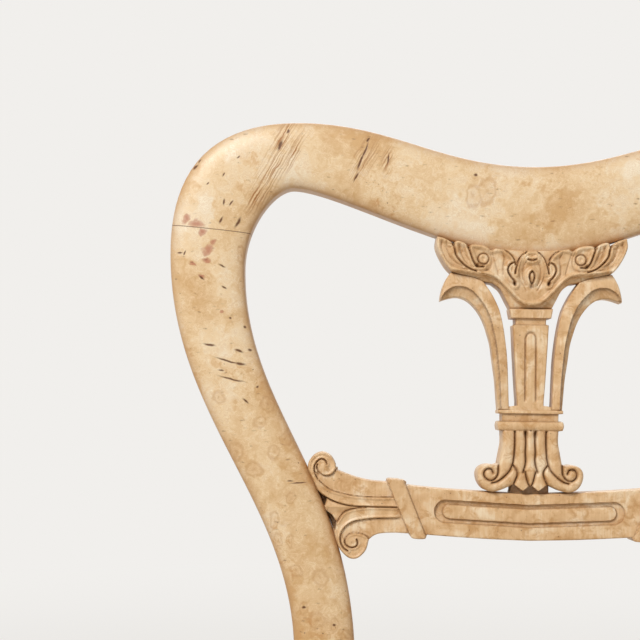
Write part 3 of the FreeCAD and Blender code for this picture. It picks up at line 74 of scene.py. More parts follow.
class BackSizes(bpy.types.PropertyGroup):
    """Sizes of the chair's back, millimetres and degrees."""
    rake: FloatProperty(name="Rake", description="Lean of the back from upright, in degrees", default=9.0)
    front_y: FloatProperty(name="Back front", description="Front of the back at the seat rail, in mm",
                           default=156.88)
    seat_rail_top: FloatProperty(name="Seat rail top", description="Height of the seat rails, in mm",
                                 default=430.0)
    thickness: FloatProperty(name="Back thickness", description="Crest and uprights front to back, in mm",
                             default=27.0)
    front_round: FloatProperty(name="Front rounding", description="Depth of the rounded front edges, in mm",
                               default=7.0, min=1.0)
    front_fullness: FloatProperty(name="Front fullness", description="Higher is flatter with tighter edges",
                                  default=2.7, min=2.0, max=10.0)
    back_round: FloatProperty(name="Back rounding", description="Rounding of the rear edges, in mm",
                              default=4.0, min=0.5)


class CarvingSizes(bpy.types.PropertyGroup):
    """Sizes of the carved work, millimetres."""
    cell: FloatProperty(name="Carving cell", description="Spacing of the carved surface's points, in mm",
                        default=0.5, min=0.2)


class SeatSizes(bpy.types.PropertyGroup):
    """Sizes of the upholstered seat."""
    cell: FloatProperty(name="Cushion cell", description="Cell of the cushion's mesh, in mm",
                         default=5.0, min=3.0)
    pressure: FloatProperty(name="Stuffing pressure", description="Pressure of the stuffing on its cover",
                            default=4.0, min=0.0)
    swell: FloatProperty(name="Largest swell", description="Furthest that the cover may move, in mm",
                         default=7.0, min=0.0)
    frames: IntProperty(name="Settling frames", description="Frames that the cover takes to settle",
                        default=20, min=1)


class WoodColours(bpy.types.PropertyGroup):
    """Colours as sRGB hex values."""
    burr_light: StringProperty(name="Burr, light", description="Palest burr wood", default="#F0E1C8")
    burr_honey: StringProperty(name="Burr, honey", description="Deeper burr wood", default="#CFA876")
    # The edge colour is partly wax and partly painted shade on the rounded edges
    burr_edge_wax_and_shade: StringProperty(name="Burr, edges", description="Wax-darkened rounded edges", default="#B27E4A")
    burr_fleck: StringProperty(name="Burr, flecks", description="Pips and bark pockets", default="#5C3310")
    stain_red: StringProperty(name="Red stain", description="Rubbed red stain", default="#A8583E")
    carved_light: StringProperty(name="Carved, light", description="Palest carved wood", default="#ECD6B6")
    carved_deep: StringProperty(name="Carved, deep", description="Deeper carved wood", default="#C9A071")
    # Dark wax in the carver's cuts, also used for painted shade in the carving's pits, openings and hollows
    cut_wax_and_shade: StringProperty(name="Old wax", description="Dark wax in the carver's cuts", default="#6A4526")
    linen: StringProperty(name="Linen", description="Undyed linen", default="#DDD2BC")
    floor: StringProperty(name="Floor", description="Plain pale floor", default="#ECEAE6")


def wishes():
    scene = bpy.context.scene
    return scene.lyre_back, scene.lyre_carving, scene.lyre_seat, scene.lyre_colours


# Curves in the plane of the back, as arrays of (x, z) in millimetres

def bezier(poles, steps):
    """Points along a cubic curve."""
    t = np.linspace(0, 1, steps + 1)[:, None]
    a, b, c, d = [np.array(p, float) for p in poles]
    return a * (1 - t) ** 3 + 3 * b * t * (1 - t) ** 2 + 3 * c * t * t * (1 - t) + d * t ** 3


def join_runs(runs):
    """One line from several that meet at their ends."""
    parts = [runs[0]]
    for run in runs[1:]:
        parts.append(run[1:] if np.hypot(*(run[0] - parts[-1][-1])) < 1e-6 else run)
    return np.vstack(parts)


def along(line, count):
    """Points evenly spaced along a line, by length."""
    steps = np.hypot(*np.diff(line, axis=0).T)
    run = np.concatenate([[0], np.cumsum(steps)])
    places = np.linspace(0, run[-1], count)
    return np.column_stack([np.interp(places, run, line[:, k]) for k in (0, 1)])


def smooth(points, spacing=0.5):
    """A smooth line through a few points, evenly spaced."""
    points = np.array(points, float)
    if len(points) < 3:
        line = points
    else:
        ends = [2 * points[0] - points[1], *points, 2 * points[-1] - points[-2]]
        knots = np.array(ends)
        t = np.linspace(0, 1, 17)[:-1, None]
        parts = []
        for a, b, c, d in zip(knots, knots[1:], knots[2:], knots[3:]):
            parts.append(0.5 * (2 * b + (c - a) * t + (2 * a - 5 * b + 4 * c - d) * t ** 2
                                + (3 * b - a - 3 * c + d) * t ** 3))
        line = np.vstack(parts + [points[-1:]])
    length = np.hypot(*np.diff(line, axis=0).T).sum()
    return along(line, max(2, int(round(length / spacing)) + 1))


def distance_to(line, points):
    """Distance from each point to a line."""
    nearest = np.full(len(points), 1e9)
    for a, b in zip(line, line[1:]):
        run = b - a
        length = max(run @ run, 1e-12)
        t = np.clip(((points - a) @ run) / length, 0, 1)
        gap = points - (a + t[:, None] * run)
        nearest = np.minimum(nearest, np.hypot(gap[:, 0], gap[:, 1]))
    return nearest


def is_inside(outline, points):
    """Which points lie inside a closed line."""
    inside = np.zeros(len(points), bool)
    x, z = points[:, 0], points[:, 1]
    for (ax, az), (bx, bz) in zip(outline, np.roll(outline, -1, axis=0)):
        if az == bz:
            continue
        crosses = ((az > z) != (bz > z)) & (x < (bx - ax) * (z - az) / (bz - az) + ax)
        inside ^= crosses
    return inside


def rise(value, low, high):
    """From 0 at low to 1 at high, smoothly."""
    t = np.clip((value - low) / (high - low), 0, 1)
    return t * t * (3 - 2 * t)


# Meshes

def on_back(points):
    """Points of the leaning back, in mm, as places in the scene, in metres."""
    back = wishes()[0]
    lean = math.radians(back.rake)
    x, y, z = np.array(points, float).T
    return np.column_stack([x, back.front_y + y * math.cos(lean) + z * math.sin(lean),
                            back.seat_rail_top - y * math.sin(lean) + z * math.cos(lean)]) * MM


def as_piece(name, places, faces, material, body, replaced=(), angle=35, values=None):
    """A finished piece from places in the scene and faces."""
    mesh = bpy.data.meshes.new(name)
    mesh.from_pydata([tuple(p) for p in places], [], faces)
    if values is not None:
        mesh.attributes.new("cut_wax_and_shade", "FLOAT", "POINT").data.foreach_set("value", values.astype(np.float32))
    work = bmesh.new()
    work.from_mesh(mesh)
    bmesh.ops.remove_doubles(work, verts=work.verts, dist=1e-6)
    bmesh.ops.recalc_face_normals(work, faces=work.faces)
    work.to_mesh(mesh)
    work.free()
    mesh.materials.append(material)
    mesh.shade_smooth()
    piece = bpy.data.objects.new(name, mesh)
    bpy.context.scene.collection.objects.link(piece)
    bpy.context.view_layer.objects.active = piece
    with bpy.context.temp_override(object=piece, selected_objects=[piece],
                                   selected_editable_objects=[piece], active_object=piece):
        bpy.ops.object.shade_smooth_by_angle(angle=math.radians(angle))
    if replaced:
        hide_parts(*replaced)
    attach(piece, body)
    return piece


def loft(rings):
    """Places and faces of a skin over closed rings, with both ends closed."""
    count = len(rings[0])
    places = np.vstack(rings)
    faces = []
    for ring in range(len(rings) - 1):
        low, high = ring * count, (ring + 1) * count
        for k in range(count):
            n = (k + 1) % count
            faces.append((low + k, low + n, high + n, high + k))
    faces.append(tuple(range(count))[::-1])
    faces.append(tuple(range((len(rings) - 1) * count, len(rings) * count)))
    return places, faces


def pillow_section(width, depth, front, fullness, back_round):
    """A board's section: crowned front with rounded edges, straight sides, eased rear edges."""
    theta = np.linspace(-math.pi / 2, math.pi / 2, 33)
    half = width / 2
    across = half + half * np.sign(theta) * np.abs(np.sin(theta)) ** (2 / fullness)
    into = front * (1 - np.cos(theta))
    loop = list(zip(across, into))
    corner = np.linspace(0, math.pi / 2, 6)
    side = depth - back_round
    loop += [(width, front + (side - front) * k / 3) for k in (1, 2)]
    loop += [(width - back_round * (1 - math.cos(t)), side + back_round * math.sin(t)) for t in corner]
    loop += [(width * k / 6, depth) for k in (4, 3, 2)]
    loop += [(back_round * (1 - math.cos(t)), side + back_round * math.sin(t)) for t in corner[::-1]]
    loop += [(0, front + (side - front) * k / 3) for k in (2, 1)]
    return np.array(loop)


def band_ring(outer, inner, inward, section, width, depth):
    """One ring of a band, from the section, between its outer and inner edge points."""
    across = section[:, :1] / width
    into = section[:, 1:] / depth
    return np.array(outer) + (np.array(inner) - np.array(outer)) * across + np.array(inward) * into


def carved(name, outline, surface, back, material, replaced, side=None, seam=True):
    """A carved board. The outline is half the pattern, or all of one side's piece. The surface gives,
    for points and their distances from the edge, heights in front of the uprights' face, and old wax
    with painted shade in the deepest cuts, pits and openings."""
    carving = wishes()[1]
    cell = carving.cell
    runs = [smooth(run, cell) for run in outline]
    edge = join_runs(runs)
    if np.hypot(*(edge[0] - edge[-1])) < 1e-6:
        edge = edge[:-1]
    closed = np.vstack([edge, edge[:1]])
    low, high = edge.min(0), edge.max(0)
    rows = np.arange(low[1] + cell / 2, high[1], cell * 0.87)
    grid = []
    for k, z in enumerate(rows):
        x = np.arange(low[0] + cell * (0.25 + 0.5 * (k % 2)), high[0], cell)
        grid.append(np.column_stack([x, np.full(len(x), z)]))
    grid = np.vstack(grid)
    grid = grid[is_inside(edge, grid)]
    grid = grid[distance_to(closed, grid) > cell * 0.55]
    points = np.vstack([edge, grid])
    loop = [(k, (k + 1) % len(edge)) for k in range(len(edge))]
    found = delaunay_2d_cdt([Vector(p) for p in points], loop, [], 1, 1e-6)
    flat = np.array([tuple(v) for v in found[0]])
    faces = [tuple(f) for f in found[2]]
    # The last run of a piece that crosses the middle lies on the middle line and is no edge of it
    rim = join_runs(runs[:-1]) if seam else closed
    heights, wax = surface(flat, distance_to(rim, flat))
    front = np.column_stack([flat[:, 0], -heights, flat[:, 1]])
    # Walls to the back, and the back itself
    used = {(a, b): 1 for f in faces for a, b in zip(f, f[1:] + f[:1])}
    walls = []
    count = len(front)
    rear = np.column_stack([flat[:, 0], np.full(count, back), flat[:, 1]])
    ring = [(a, b) for (a, b) in used if (b, a) not in used]
    ring = [(a, b) for a, b in ring if not (seam and flat[a, 0] < 1e-6 and flat[b, 0] < 1e-6)]
    steps = (0.25, 0.6, 1.0)
    layers = [front]
    index = {}
    for step in steps:
        layers.append(front + (rear - front) * step)
    edge_ids = sorted({a for pair in ring for a in pair})
    places = [front]
    for level in range(1, len(layers)):
        for k, a in enumerate(edge_ids):
            index[(level, a)] = count + (level - 1) * len(edge_ids) + k
        places.append(layers[level][edge_ids])
    for a in edge_ids:
        index[(0, a)] = a
    for level in range(len(steps)):
        for a, b in ring:
            walls.append((index[(level, b)], index[(level, a)], index[(level + 1, a)], index[(level + 1, b)]))
    places = np.vstack(places)
    base = len(places)
    # The rear face copies the front's triangles and shares the points of the rim
    rear_index = {a: index[(len(steps), a)] for a in edge_ids}
    inner = [k for k in range(count) if k not in rear_index]
    for k, a in enumerate(inner):
        rear_index[a] = base + k
    places = np.vstack([places, rear[inner]])
    values = np.zeros(len(places))
    values[:count] = wax
    all_faces = faces + walls + [tuple(rear_index[a] for a in f[::-1]) for f in faces]
    if seam:
        other = places * np.array([-1, 1, 1])
        shift = len(places)
        all_faces = all_faces + [tuple(a + shift for a in f[::-1]) for f in all_faces]
        places = np.vstack([places, other])
        values = np.concatenate([values, values])
    elif side is not None:
        places = places * np.array([side, 1, 1])
    return as_piece(name, on_back(places), all_faces, material, BODY_CHAIR, replaced,
                    values=values)


# Materials

def linear(value):
    """An sRGB hex colour as the linear colour that shaders use."""
    parts = [int(value[k:k + 2], 16) / 255 for k in (1, 3, 5)]
    return tuple(c / 12.92 if c <= 0.04045 else ((c + 0.055) / 1.055) ** 2.4 for c in parts) + (1.0,)


# Sockets of a colour Mix node
FACTOR, FIRST, SECOND, MIXED = 0, 6, 7, 2


def add_node(tree, kind, settings=None, inputs=None, stops=None):
    """Adds a node, sets what it is told and links what feeds it."""
    node = tree.nodes.new("ShaderNode" + kind)
    for name, value in (settings or {}).items():
        setattr(node, name, value)
    for name, value in (inputs or {}).items():
        if isinstance(value, bpy.types.NodeSocket):
            tree.links.new(value, node.inputs[name])
        else:
            node.inputs[name].default_value = value
    if stops:
        ramp = node.color_ramp.elements
        while len(ramp) < len(stops):
            ramp.new(1.0)
        for element, (place, colour) in zip(ramp, stops):
            element.position = place
            element.color = linear(colour) if isinstance(colour, str) else (colour, colour, colour, 1.0)
    return node


def new_finish(name, roughness, ior=1.5, coat=0.0, sheen=0.0, metallic=0.0):
    """A material with its shader, its node tree and its place in millimetres in the leaning back."""
    material = bpy.data.materials.new(name)
    material.use_nodes = True
    tree = material.node_tree
    shader = tree.nodes["Principled BSDF"]
    shader.inputs["Roughness"].default_value = roughness
    shader.inputs["IOR"].default_value = ior
    shader.inputs["Metallic"].default_value = metallic
    shader.inputs["Coat Weight"].default_value = coat
    shader.inputs["Coat Roughness"].default_value = 0.3
    shader.inputs["Sheen Weight"].default_value = sheen
    back = wishes()[0]
    place = add_node(tree, "TexCoord").outputs["Object"]
    origin = (0.0, back.front_y * MM, back.seat_rail_top * MM)
    place = add_node(tree, "VectorMath", {"operation": "SUBTRACT"}, {0: place, 1: origin}).outputs[0]
    place = add_node(tree, "VectorRotate", {"rotation_type": "X_AXIS"},
                     {"Vector": place, "Angle": math.radians(back.rake)}).outputs[0]
    place = add_node(tree, "VectorMath", {"operation": "SCALE"},
                     {0: place, "Scale": 1 / MM}).outputs[0]
    return material, tree, shader, place


# Marks in the left side of the back, as seen from the front: outwards from the middle, height
# over the seat rails, length, width, angle from level, all in mm and degrees.
BARK_POCKETS = (
    (157.2, 438.3, 4, 1.2, 60), (162, 429.1, 9, 1.6, 68), (208.3, 403.8, 3, 0.8, 50),
    (192.7, 391.4, 5, 1.0, 60), (197.6, 392, 5, 1.0, 80), (197.9, 409.6, 3, 0.8, 60),
    (188.7, 421, 3, 0.9, 40), (216.2, 414.9, 5, 1.0, 48), (213.5, 418.9, 4, 0.9, 52),
    (188.2, 379.1, 9, 1.5, 66), (199.1, 380.3, 6, 1.0, 62), (198.2, 351.2, 6, 1.0, -20),
    (225.3, 358.9, 4, 0.9, 0), (222.1, 358.9, 4, 0.9, 70), (196.4, 337.2, 4, 0.9, -30),
    (210.9, 343, 5, 0.9, -40), (192.3, 317.6, 2, 1.2, 0), (182.8, 312.2, 2.4, 1.3, 0),
    (205, 300.3, 9, 1.2, -8), (186.4, 296.5, 7, 1.3, -12), (179.5, 297.6, 3, 1.3, 0),
    (193, 290.4, 20, 0.9, -13), (185, 288.6, 8, 1.4, -10), (190.6, 278.6, 20, 0.9, -13),
    (174, 274, 2.6, 1.2, 40), (181.4, 264.9, 6, 1.1, -35), (197.8, 284, 5, 0.8, -10),
    (107.4, 426.5, 14, 1.0, 66), (110.4, 419, 15, 1.1, 70), (113, 409, 8, 1.0, 62),
    (105.3, 433.5, 4, 1.2, 60), (92.6, 420.8, 9, 0.8, 86), (147.1, 213.3, 12, 0.8, 8),
    (152.5, 214.5, 5, 0.7, 0), (36.5, 412, 3, 1.4, 0), (70, 438, 3, 1.0, 20),
    (123.3, 124.3, 3, 1.2, 0), (142.2, 134.8, 3, 1.3, 0), (110.5, 177, 2, 1.0, 0),
)
# Trails of fine brown lines in the crest's bend
STREAKS = (
    (160, 434, 34, 8, 66), (167.5, 413, 40, 10, 62), (176, 397, 26, 9, 56), (154, 424, 36, 5, 64),
    (108, 421, 34, 9, 68), (93, 420, 22, 5, 84),
)
RED_STAINS = (
    (214.7, 377.1, 13, 5, 5), (220.5, 380.5, 10, 3, 40), (210.5, 372, 8, 3, 60),
    (207.6, 361.5, 9, 6, -30), (208.1, 354.6, 5, 5, 60), (203.5, 366, 8, 3, 50), (217.1, 351.9, 6, 1.6, -20),
    (211, 343.5, 6, 1.6, -30), (198.2, 321.3, 5, 2, 0),
)
# Buds cut across: rings of brown round a paler middle
BUDS = (
    (172.3, 251.4, 8, 6, 10), (186.9, 232.1, 9, 8, 0), (175.6, 221.5, 11, 7, 20), (161.7, 189.4, 7, 7, 0),
    (159.6, 176.7, 5, 6, 0), (151.6, 176.9, 5, 6, 0), (147.9, 158, 8, 6, 0), (132.6, 153.8, 10, 8, 20),
    (142.2, 134.8, 6, 6, 0), (134.3, 127.3, 12, 7, -30), (123.3, 124.3, 6, 7, 0), (115.6, 116.3, 9, 5, 60),
    (198.3, 266.9, 8, 6, 0), (187, 358.6, 5, 8, 0), (29.5, 401, 20, 7, 88), (37.5, 398, 16, 6, 80),
    (155.5, 241, 7, 6, 0), (163, 232.5, 9, 6, 0), (168, 263, 9, 6, -20), (152, 204, 6, 5, 0),
)


# Soft edges make a mark look smaller than it is, so its length and width are scaled up. It sits
# just behind the front and reaches far enough in to cover the rounded edges.
LENGTHEN, WIDEN = 1.25, 2.0
MARK_DEPTH, MARK_REACH = 4.0, 30.0


def marks(tree, place, spots):
    """How strongly any of the marks covers a place."""
    covered = None
    for out, height, length, width, angle in spots:
        mapped = add_node(tree, "Mapping", {"vector_type": "TEXTURE"},
                          {"Vector": place, "Location": (-out, MARK_DEPTH, height),
                           "Rotation": (0.0, -math.radians(angle), 0.0),
                           "Scale": (length / 2 * LENGTHEN, MARK_REACH, width / 2 * WIDEN)}).outputs[0]
        spot = add_node(tree, "TexGradient", {"gradient_type": "SPHERICAL"}, {0: mapped}).outputs["Fac"]
        covered = spot if covered is None else add_node(
            tree, "Math", {"operation": "MAXIMUM"}, {0: covered, 1: spot}).outputs[0]
    return covered


def burr_wood():
    """Burr wood, bleached and waxed. The cut across hundreds of small buds gives soft clouds of
    cream and honey, rippled hair-fine figure, brown rings, pips and short bark pockets, and the
    rubbed wax a low satin shine."""
    colours = wishes()[3]
    material, tree, shader, place = new_finish("waxed_burr_wood", 0.42, 1.48, coat=0.06)
    warp = add_node(tree, "TexNoise",
                    inputs={"Vector": place, "Scale": 1 / 7, "Detail": 4.0}).outputs["Color"]
    warp = add_node(tree, "VectorMath", {"operation": "SUBTRACT"}, {0: warp, 1: (0.5, 0.5, 0.5)}).outputs[0]
    moved = []
    for reach in (26.0, 8.0, 2.4):
        shift = add_node(tree, "VectorMath", {"operation": "SCALE"}, {0: warp, "Scale": reach}).outputs[0]
        moved.append(add_node(tree, "VectorMath", {"operation": "ADD"}, {0: place, 1: shift}).outputs[0])
    curled, frayed, nudged = moved
    parts = add_node(tree, "SeparateXYZ", inputs={0: place})
    # Clouds 45 mm across, mottle 9 mm across, and deeper honey down the uprights
    cloud = add_node(tree, "TexNoise",
                     inputs={"Vector": curled, "Scale": 1 / 45, "Detail": 5.0,
                             "Roughness": 0.6}).outputs["Fac"]
    mottle = add_node(tree, "TexNoise",
                      inputs={"Vector": curled, "Scale": 1 / 9, "Detail": 6.0,
                              "Roughness": 0.65}).outputs["Fac"]
    tone = add_node(tree, "Math", {"operation": "MULTIPLY_ADD"}, {0: mottle, 1: 0.5, 2: cloud}).outputs[0]
    lower = add_node(tree, "MapRange", {"interpolation_type": "SMOOTHSTEP"},
                     {"Value": parts.outputs["Z"], "From Min": 360.0, "From Max": 200.0,
                      "To Max": 0.09}).outputs[0]
    tone = add_node(tree, "Math", {"operation": "ADD"}, {0: tone, 1: lower}).outputs[0]
    base = add_node(tree, "ValToRGB", inputs={"Fac": tone},
                    stops=[(0.58, colours.burr_light), (0.76, "#E6CBA3"),
                           (0.94, colours.burr_honey)]).outputs["Color"]
    # Rippled figure: lines 2 mm apart that waver by several lines as they pass the buds
    figure = add_node(tree, "TexWave", {"wave_type": "BANDS", "bands_direction": "Z"},
                      {"Vector": curled, "Scale": 0.16, "Distortion": 9.0, "Detail": 3.0,
                       "Detail Scale": 0.35}).outputs["Fac"]
    patches = add_node(tree, "MapRange",
                       inputs={"Value": mottle, "From Min": 0.4, "From Max": 0.62, "To Min": 0.36,
                               "To Max": 0.04}).outputs[0]
    figured = add_node(tree, "Math", {"operation": "MULTIPLY"}, {0: figure, 1: patches}).outputs[0]
    base = add_node(tree, "Mix", {"data_type": "RGBA", "blend_type": "MULTIPLY"},
                    {FACTOR: figured, FIRST: base, SECOND: linear("#D8B88E")}).outputs[MIXED]
    # Streaks: fine lines gathered in trails
    trail = marks(tree, frayed, STREAKS)
    hairs = add_node(tree, "VectorRotate", {"rotation_type": "Y_AXIS"},
                     {"Vector": nudged, "Angle": math.radians(60)}).outputs[0]
    hairs = add_node(tree, "VectorMath", {"operation": "MULTIPLY"},
                     {0: hairs, 1: (0.03, 0.1, 1.1)}).outputs[0]
    hairs = add_node(tree, "TexNoise", inputs={"Vector": hairs, "Scale": 1.0, "Detail": 4.0}).outputs["Fac"]
    hairs = add_node(tree, "MapRange",
                     inputs={"Value": hairs, "From Min": 0.46, "From Max": 0.62, "To Max": 1.3}).outputs[0]
    trail = add_node(tree, "Math", {"operation": "MULTIPLY", "use_clamp": True},
                     {0: trail, 1: hairs}).outputs[0]
    # Buds 5 mm across, scattered, and the larger ones placed
    cells = add_node(tree, "TexVoronoi", {"feature": "F1"},
                     {"Vector": frayed, "Scale": 1 / 17, "Randomness": 1.0}).outputs["Distance"]
    rings = add_node(tree, "ValToRGB", inputs={"Fac": cells},
                     stops=[(0.0, 0.55), (0.05, 0.1), (0.12, 0.36), (0.17, 0.3),
                            (0.26, 0.0)]).outputs["Color"]
    clusters = add_node(tree, "TexNoise",
                        inputs={"Vector": place, "Scale": 1 / 38, "Detail": 2.0}).outputs["Fac"]
    clusters = add_node(tree, "Math", {"operation": "ADD"}, {0: clusters, 1: lower}).outputs[0]
    clusters = add_node(tree, "ValToRGB", inputs={"Fac": clusters},
                        stops=[(0.5, 0.0), (0.68, 0.9)]).outputs["Color"]
    rings = add_node(tree, "Math", {"operation": "MULTIPLY"}, {0: rings, 1: clusters}).outputs[0]
    buds = marks(tree, frayed, BUDS)
    buds = add_node(tree, "ValToRGB", inputs={"Fac": buds},
                    stops=[(0.1, 0.0), (0.26, 0.3), (0.36, 0.34), (0.5, 0.08), (0.75, 0.12),
                           (0.9, 0.45)]).outputs["Color"]
    rings = add_node(tree, "Math", {"operation": "MAXIMUM"}, {0: rings, 1: buds}).outputs[0]
    # Orange smudges round the clusters of buds
    smudge = add_node(tree, "MapRange", {"interpolation_type": "SMOOTHSTEP"},
                      {"Value": mottle, "From Min": 0.5, "From Max": 0.66, "To Max": 0.7}).outputs[0]
    smudge = add_node(tree, "Math", {"operation": "MULTIPLY"}, {0: smudge, 1: clusters}).outputs[0]
    # Pips: dots half a millimetre across, in clusters
    cells = add_node(tree, "TexVoronoi", {"feature": "F1"},
                     {"Vector": nudged, "Scale": 1 / 4.6, "Randomness": 1.0}).outputs["Distance"]
    pips = add_node(tree, "ValToRGB", inputs={"Fac": cells},
                    stops=[(0.04, 0.9), (0.12, 0.0)]).outputs["Color"]
    pips = add_node(tree, "Math", {"operation": "MULTIPLY"}, {0: pips, 1: clusters}).outputs[0]
    # Short level flecks, about 1 mm thick and up to 4 mm long
    stretched = add_node(tree, "VectorMath", {"operation": "MULTIPLY"},
                         {0: nudged, 1: (0.1, 0.16, 0.34)}).outputs[0]
    slots = add_node(tree, "TexVoronoi", {"feature": "F1"},
                     {"Vector": stretched, "Scale": 1.0, "Randomness": 1.0}).outputs["Distance"]
    slots = add_node(tree, "ValToRGB", inputs={"Fac": slots},
                     stops=[(0.08, 0.6), (0.2, 0.0)]).outputs["Color"]
    spread = add_node(tree, "ValToRGB", inputs={"Fac": mottle},
                      stops=[(0.45, 0.0), (0.6, 0.9)]).outputs["Color"]
    slots = add_node(tree, "Math", {"operation": "MULTIPLY"}, {0: slots, 1: spread}).outputs[0]
    flecks = add_node(tree, "Math", {"operation": "MAXIMUM"}, {0: pips, 1: slots}).outputs[0]
    placed = marks(tree, nudged, BARK_POCKETS)
    placed = add_node(tree, "ValToRGB", inputs={"Fac": placed},
                      stops=[(0.08, 0.0), (0.34, 0.3), (0.6, 0.95)]).outputs["Color"]
    flecks = add_node(tree, "Math", {"operation": "MAXIMUM"}, {0: flecks, 1: placed}).outputs[0]
    # Wax gathers on the rounded edges, from 1 mm behind the front; the same darkening is also painted shade
    # on edges that turn from the light, such as under the crest
    edge = add_node(tree, "MapRange", {"interpolation_type": "SMOOTHSTEP"},
                    {"Value": parts.outputs["Y"], "From Min": 0.9, "From Max": 6.5, "To Max": 0.6}).outputs[0]
    red = marks(tree, frayed, RED_STAINS)
    red = add_node(tree, "ValToRGB", inputs={"Fac": red},
                   stops=[(0.3, 0.0), (0.5, 0.5), (0.85, 0.75)]).outputs["Color"]
    # The glued joint of crest and upright shows as a hair line
    joint = add_node(tree, "Math", {"operation": "ABSOLUTE"}, {0: parts.outputs["X"]}).outputs[0]
    joint = add_node(tree, "Math", {"operation": "MULTIPLY_ADD"},
                     {0: joint, 1: (SEAM_IN - SEAM_OUT) / SEAM_LENGTH, 2: parts.outputs["Z"]}).outputs[0]
    level = SEAM_OUT + (SEAM_IN - SEAM_OUT) / SEAM_LENGTH * SEAM_START
    joint = add_node(tree, "Math", {"operation": "COMPARE"}, {0: joint, 1: level, 2: 0.28}).outputs[0]
    joint = add_node(tree, "Math", {"operation": "MULTIPLY"}, {0: joint, 1: 0.75}).outputs[0]
    # Laid over each other from the bottom up
    layers = ((trail, "#A5713F"),
              (rings, "#B07A42"),
              (smudge, "#C08B52"),
              (edge, colours.burr_edge_wax_and_shade),
              (red, colours.stain_red),
              (flecks, colours.burr_fleck),
              (joint, colours.burr_fleck))
    for amount, colour in layers:
        base = add_node(tree, "Mix", {"data_type": "RGBA"},
                        {FACTOR: amount, FIRST: base, SECOND: linear(colour)}).outputs[MIXED]
    tree.links.new(base, shader.inputs["Base Color"])
    # Pips are open pits, and the wax fills them unevenly
    relief = add_node(tree, "Math", {"operation": "MULTIPLY_ADD"}, {0: flecks, 1: -1.0, 2: mottle}).outputs[0]
    bump = add_node(tree, "Bump", inputs={"Height": relief, "Strength": 0.3, "Distance": 0.0004}).outputs[0]
    tree.links.new(bump, shader.inputs["Normal"])
    gloss = add_node(tree, "MapRange", inputs={"Value": mottle, "To Min": 0.36, "To Max": 0.52}).outputs[0]
    tree.links.new(gloss, shader.inputs["Roughness"])
    return material


def carved_wood():
    """Straight-grained wood, carved with gouges, bleached and waxed. Old wax stays dark in every cut,
    with painted shade in the hollows, pits and openings, the raised parts are rubbed pale, and the
    grain runs up the splat in fine streaks."""
    colours = wishes()[3]
    material, tree, shader, place = new_finish("carved_waxed_wood", 0.45, 1.48, coat=0.06)
    long_grain = add_node(tree, "VectorMath", {"operation": "MULTIPLY"},
                          {0: place, 1: (0.7, 0.7, 0.05)}).outputs[0]
    grain = add_node(tree, "TexNoise",
                     inputs={"Vector": long_grain, "Scale": 1.0, "Detail": 5.0,
                             "Roughness": 0.65}).outputs["Fac"]
    cloud = add_node(tree, "TexNoise",
                     inputs={"Vector": place, "Scale": 1 / 14, "Detail": 4.0,
                             "Distortion": 0.6}).outputs["Fac"]
    tone = add_node(tree, "Math", {"operation": "MULTIPLY_ADD"}, {0: grain, 1: 0.4, 2: cloud}).outputs[0]
    base = add_node(tree, "ValToRGB", inputs={"Fac": tone},
                    stops=[(0.5, colours.carved_light), (0.68, "#DDB98D"),
                           (0.92, colours.carved_deep)]).outputs["Color"]
    # Brown smudges of old polish, 4 to 10 mm across
    smudge = add_node(tree, "TexNoise",
                      inputs={"Vector": place, "Scale": 1 / 7, "Detail": 6.0, "Roughness": 0.7,
                              "Distortion": 0.8}).outputs["Fac"]
    smudge = add_node(tree, "MapRange", {"interpolation_type": "SMOOTHSTEP"},
                      {"Value": smudge, "From Min": 0.46, "From Max": 0.66, "To Max": 0.75}).outputs[0]
    # Old wax in the cuts, with painted shade where a piece puts it, from each piece's own values
    wax = add_node(tree, "Attribute", {"attribute_name": "cut_wax_and_shade"}).outputs["Fac"]
    speckle = add_node(tree, "TexNoise",
                       inputs={"Vector": place, "Scale": 1 / 1.5, "Detail": 3.0}).outputs["Fac"]
    speckle = add_node(tree, "MapRange",
                       inputs={"Value": speckle, "From Min": 0.3, "From Max": 0.7, "To Min": 0.25,
                               "To Max": 0.95}).outputs[0]
    wax = add_node(tree, "Math", {"operation": "MULTIPLY", "use_clamp": True},
                   {0: wax, 1: speckle}).outputs[0]
    # Small dark specks that the carver left in the grain
    specks = add_node(tree, "TexVoronoi", {"feature": "F1"},
                      {"Vector": place, "Scale": 1 / 3.5}).outputs["Distance"]
    specks = add_node(tree, "ValToRGB", inputs={"Fac": specks},
                      stops=[(0.06, 0.75), (0.15, 0.0)]).outputs["Color"]
    spots = add_node(tree, "ValToRGB", inputs={"Fac": cloud}, stops=[(0.5, 0.0), (0.6, 1.0)]).outputs["Color"]
    specks = add_node(tree, "Math", {"operation": "MULTIPLY"}, {0: specks, 1: spots}).outputs[0]
    wax = add_node(tree, "Math", {"operation": "MAXIMUM"}, {0: wax, 1: specks}).outputs[0]
    # Painted shade: ambient occlusion darkens the carving's hollows, and it stands also for old wax in them
    hollow = add_node(tree, "AmbientOcclusion", {"samples": 8}, {"Distance": 0.006}).outputs["AO"]
    hollow = add_node(tree, "MapRange",
                      inputs={"Value": hollow, "From Min": 0.3, "From Max": 0.9, "To Min": 0.42,
                              "To Max": 0.0}).outputs[0]
    # Laid over each other from the bottom up
    layers = ((smudge, "#BC8C55"),
              (wax, colours.cut_wax_and_shade),
              (hollow, "#8C6038"))
    for amount, colour in layers:
        base = add_node(tree, "Mix", {"data_type": "RGBA"},
                        {FACTOR: amount, FIRST: base, SECOND: linear(colour)}).outputs[MIXED]
    tree.links.new(base, shader.inputs["Base Color"])
    relief = add_node(tree, "Math", {"operation": "MULTIPLY_ADD"}, {0: wax, 1: -0.6, 2: grain}).outputs[0]
    bump = add_node(tree, "Bump", inputs={"Height": relief, "Strength": 0.3, "Distance": 0.0004}).outputs[0]
    tree.links.new(bump, shader.inputs["Normal"])
    return material


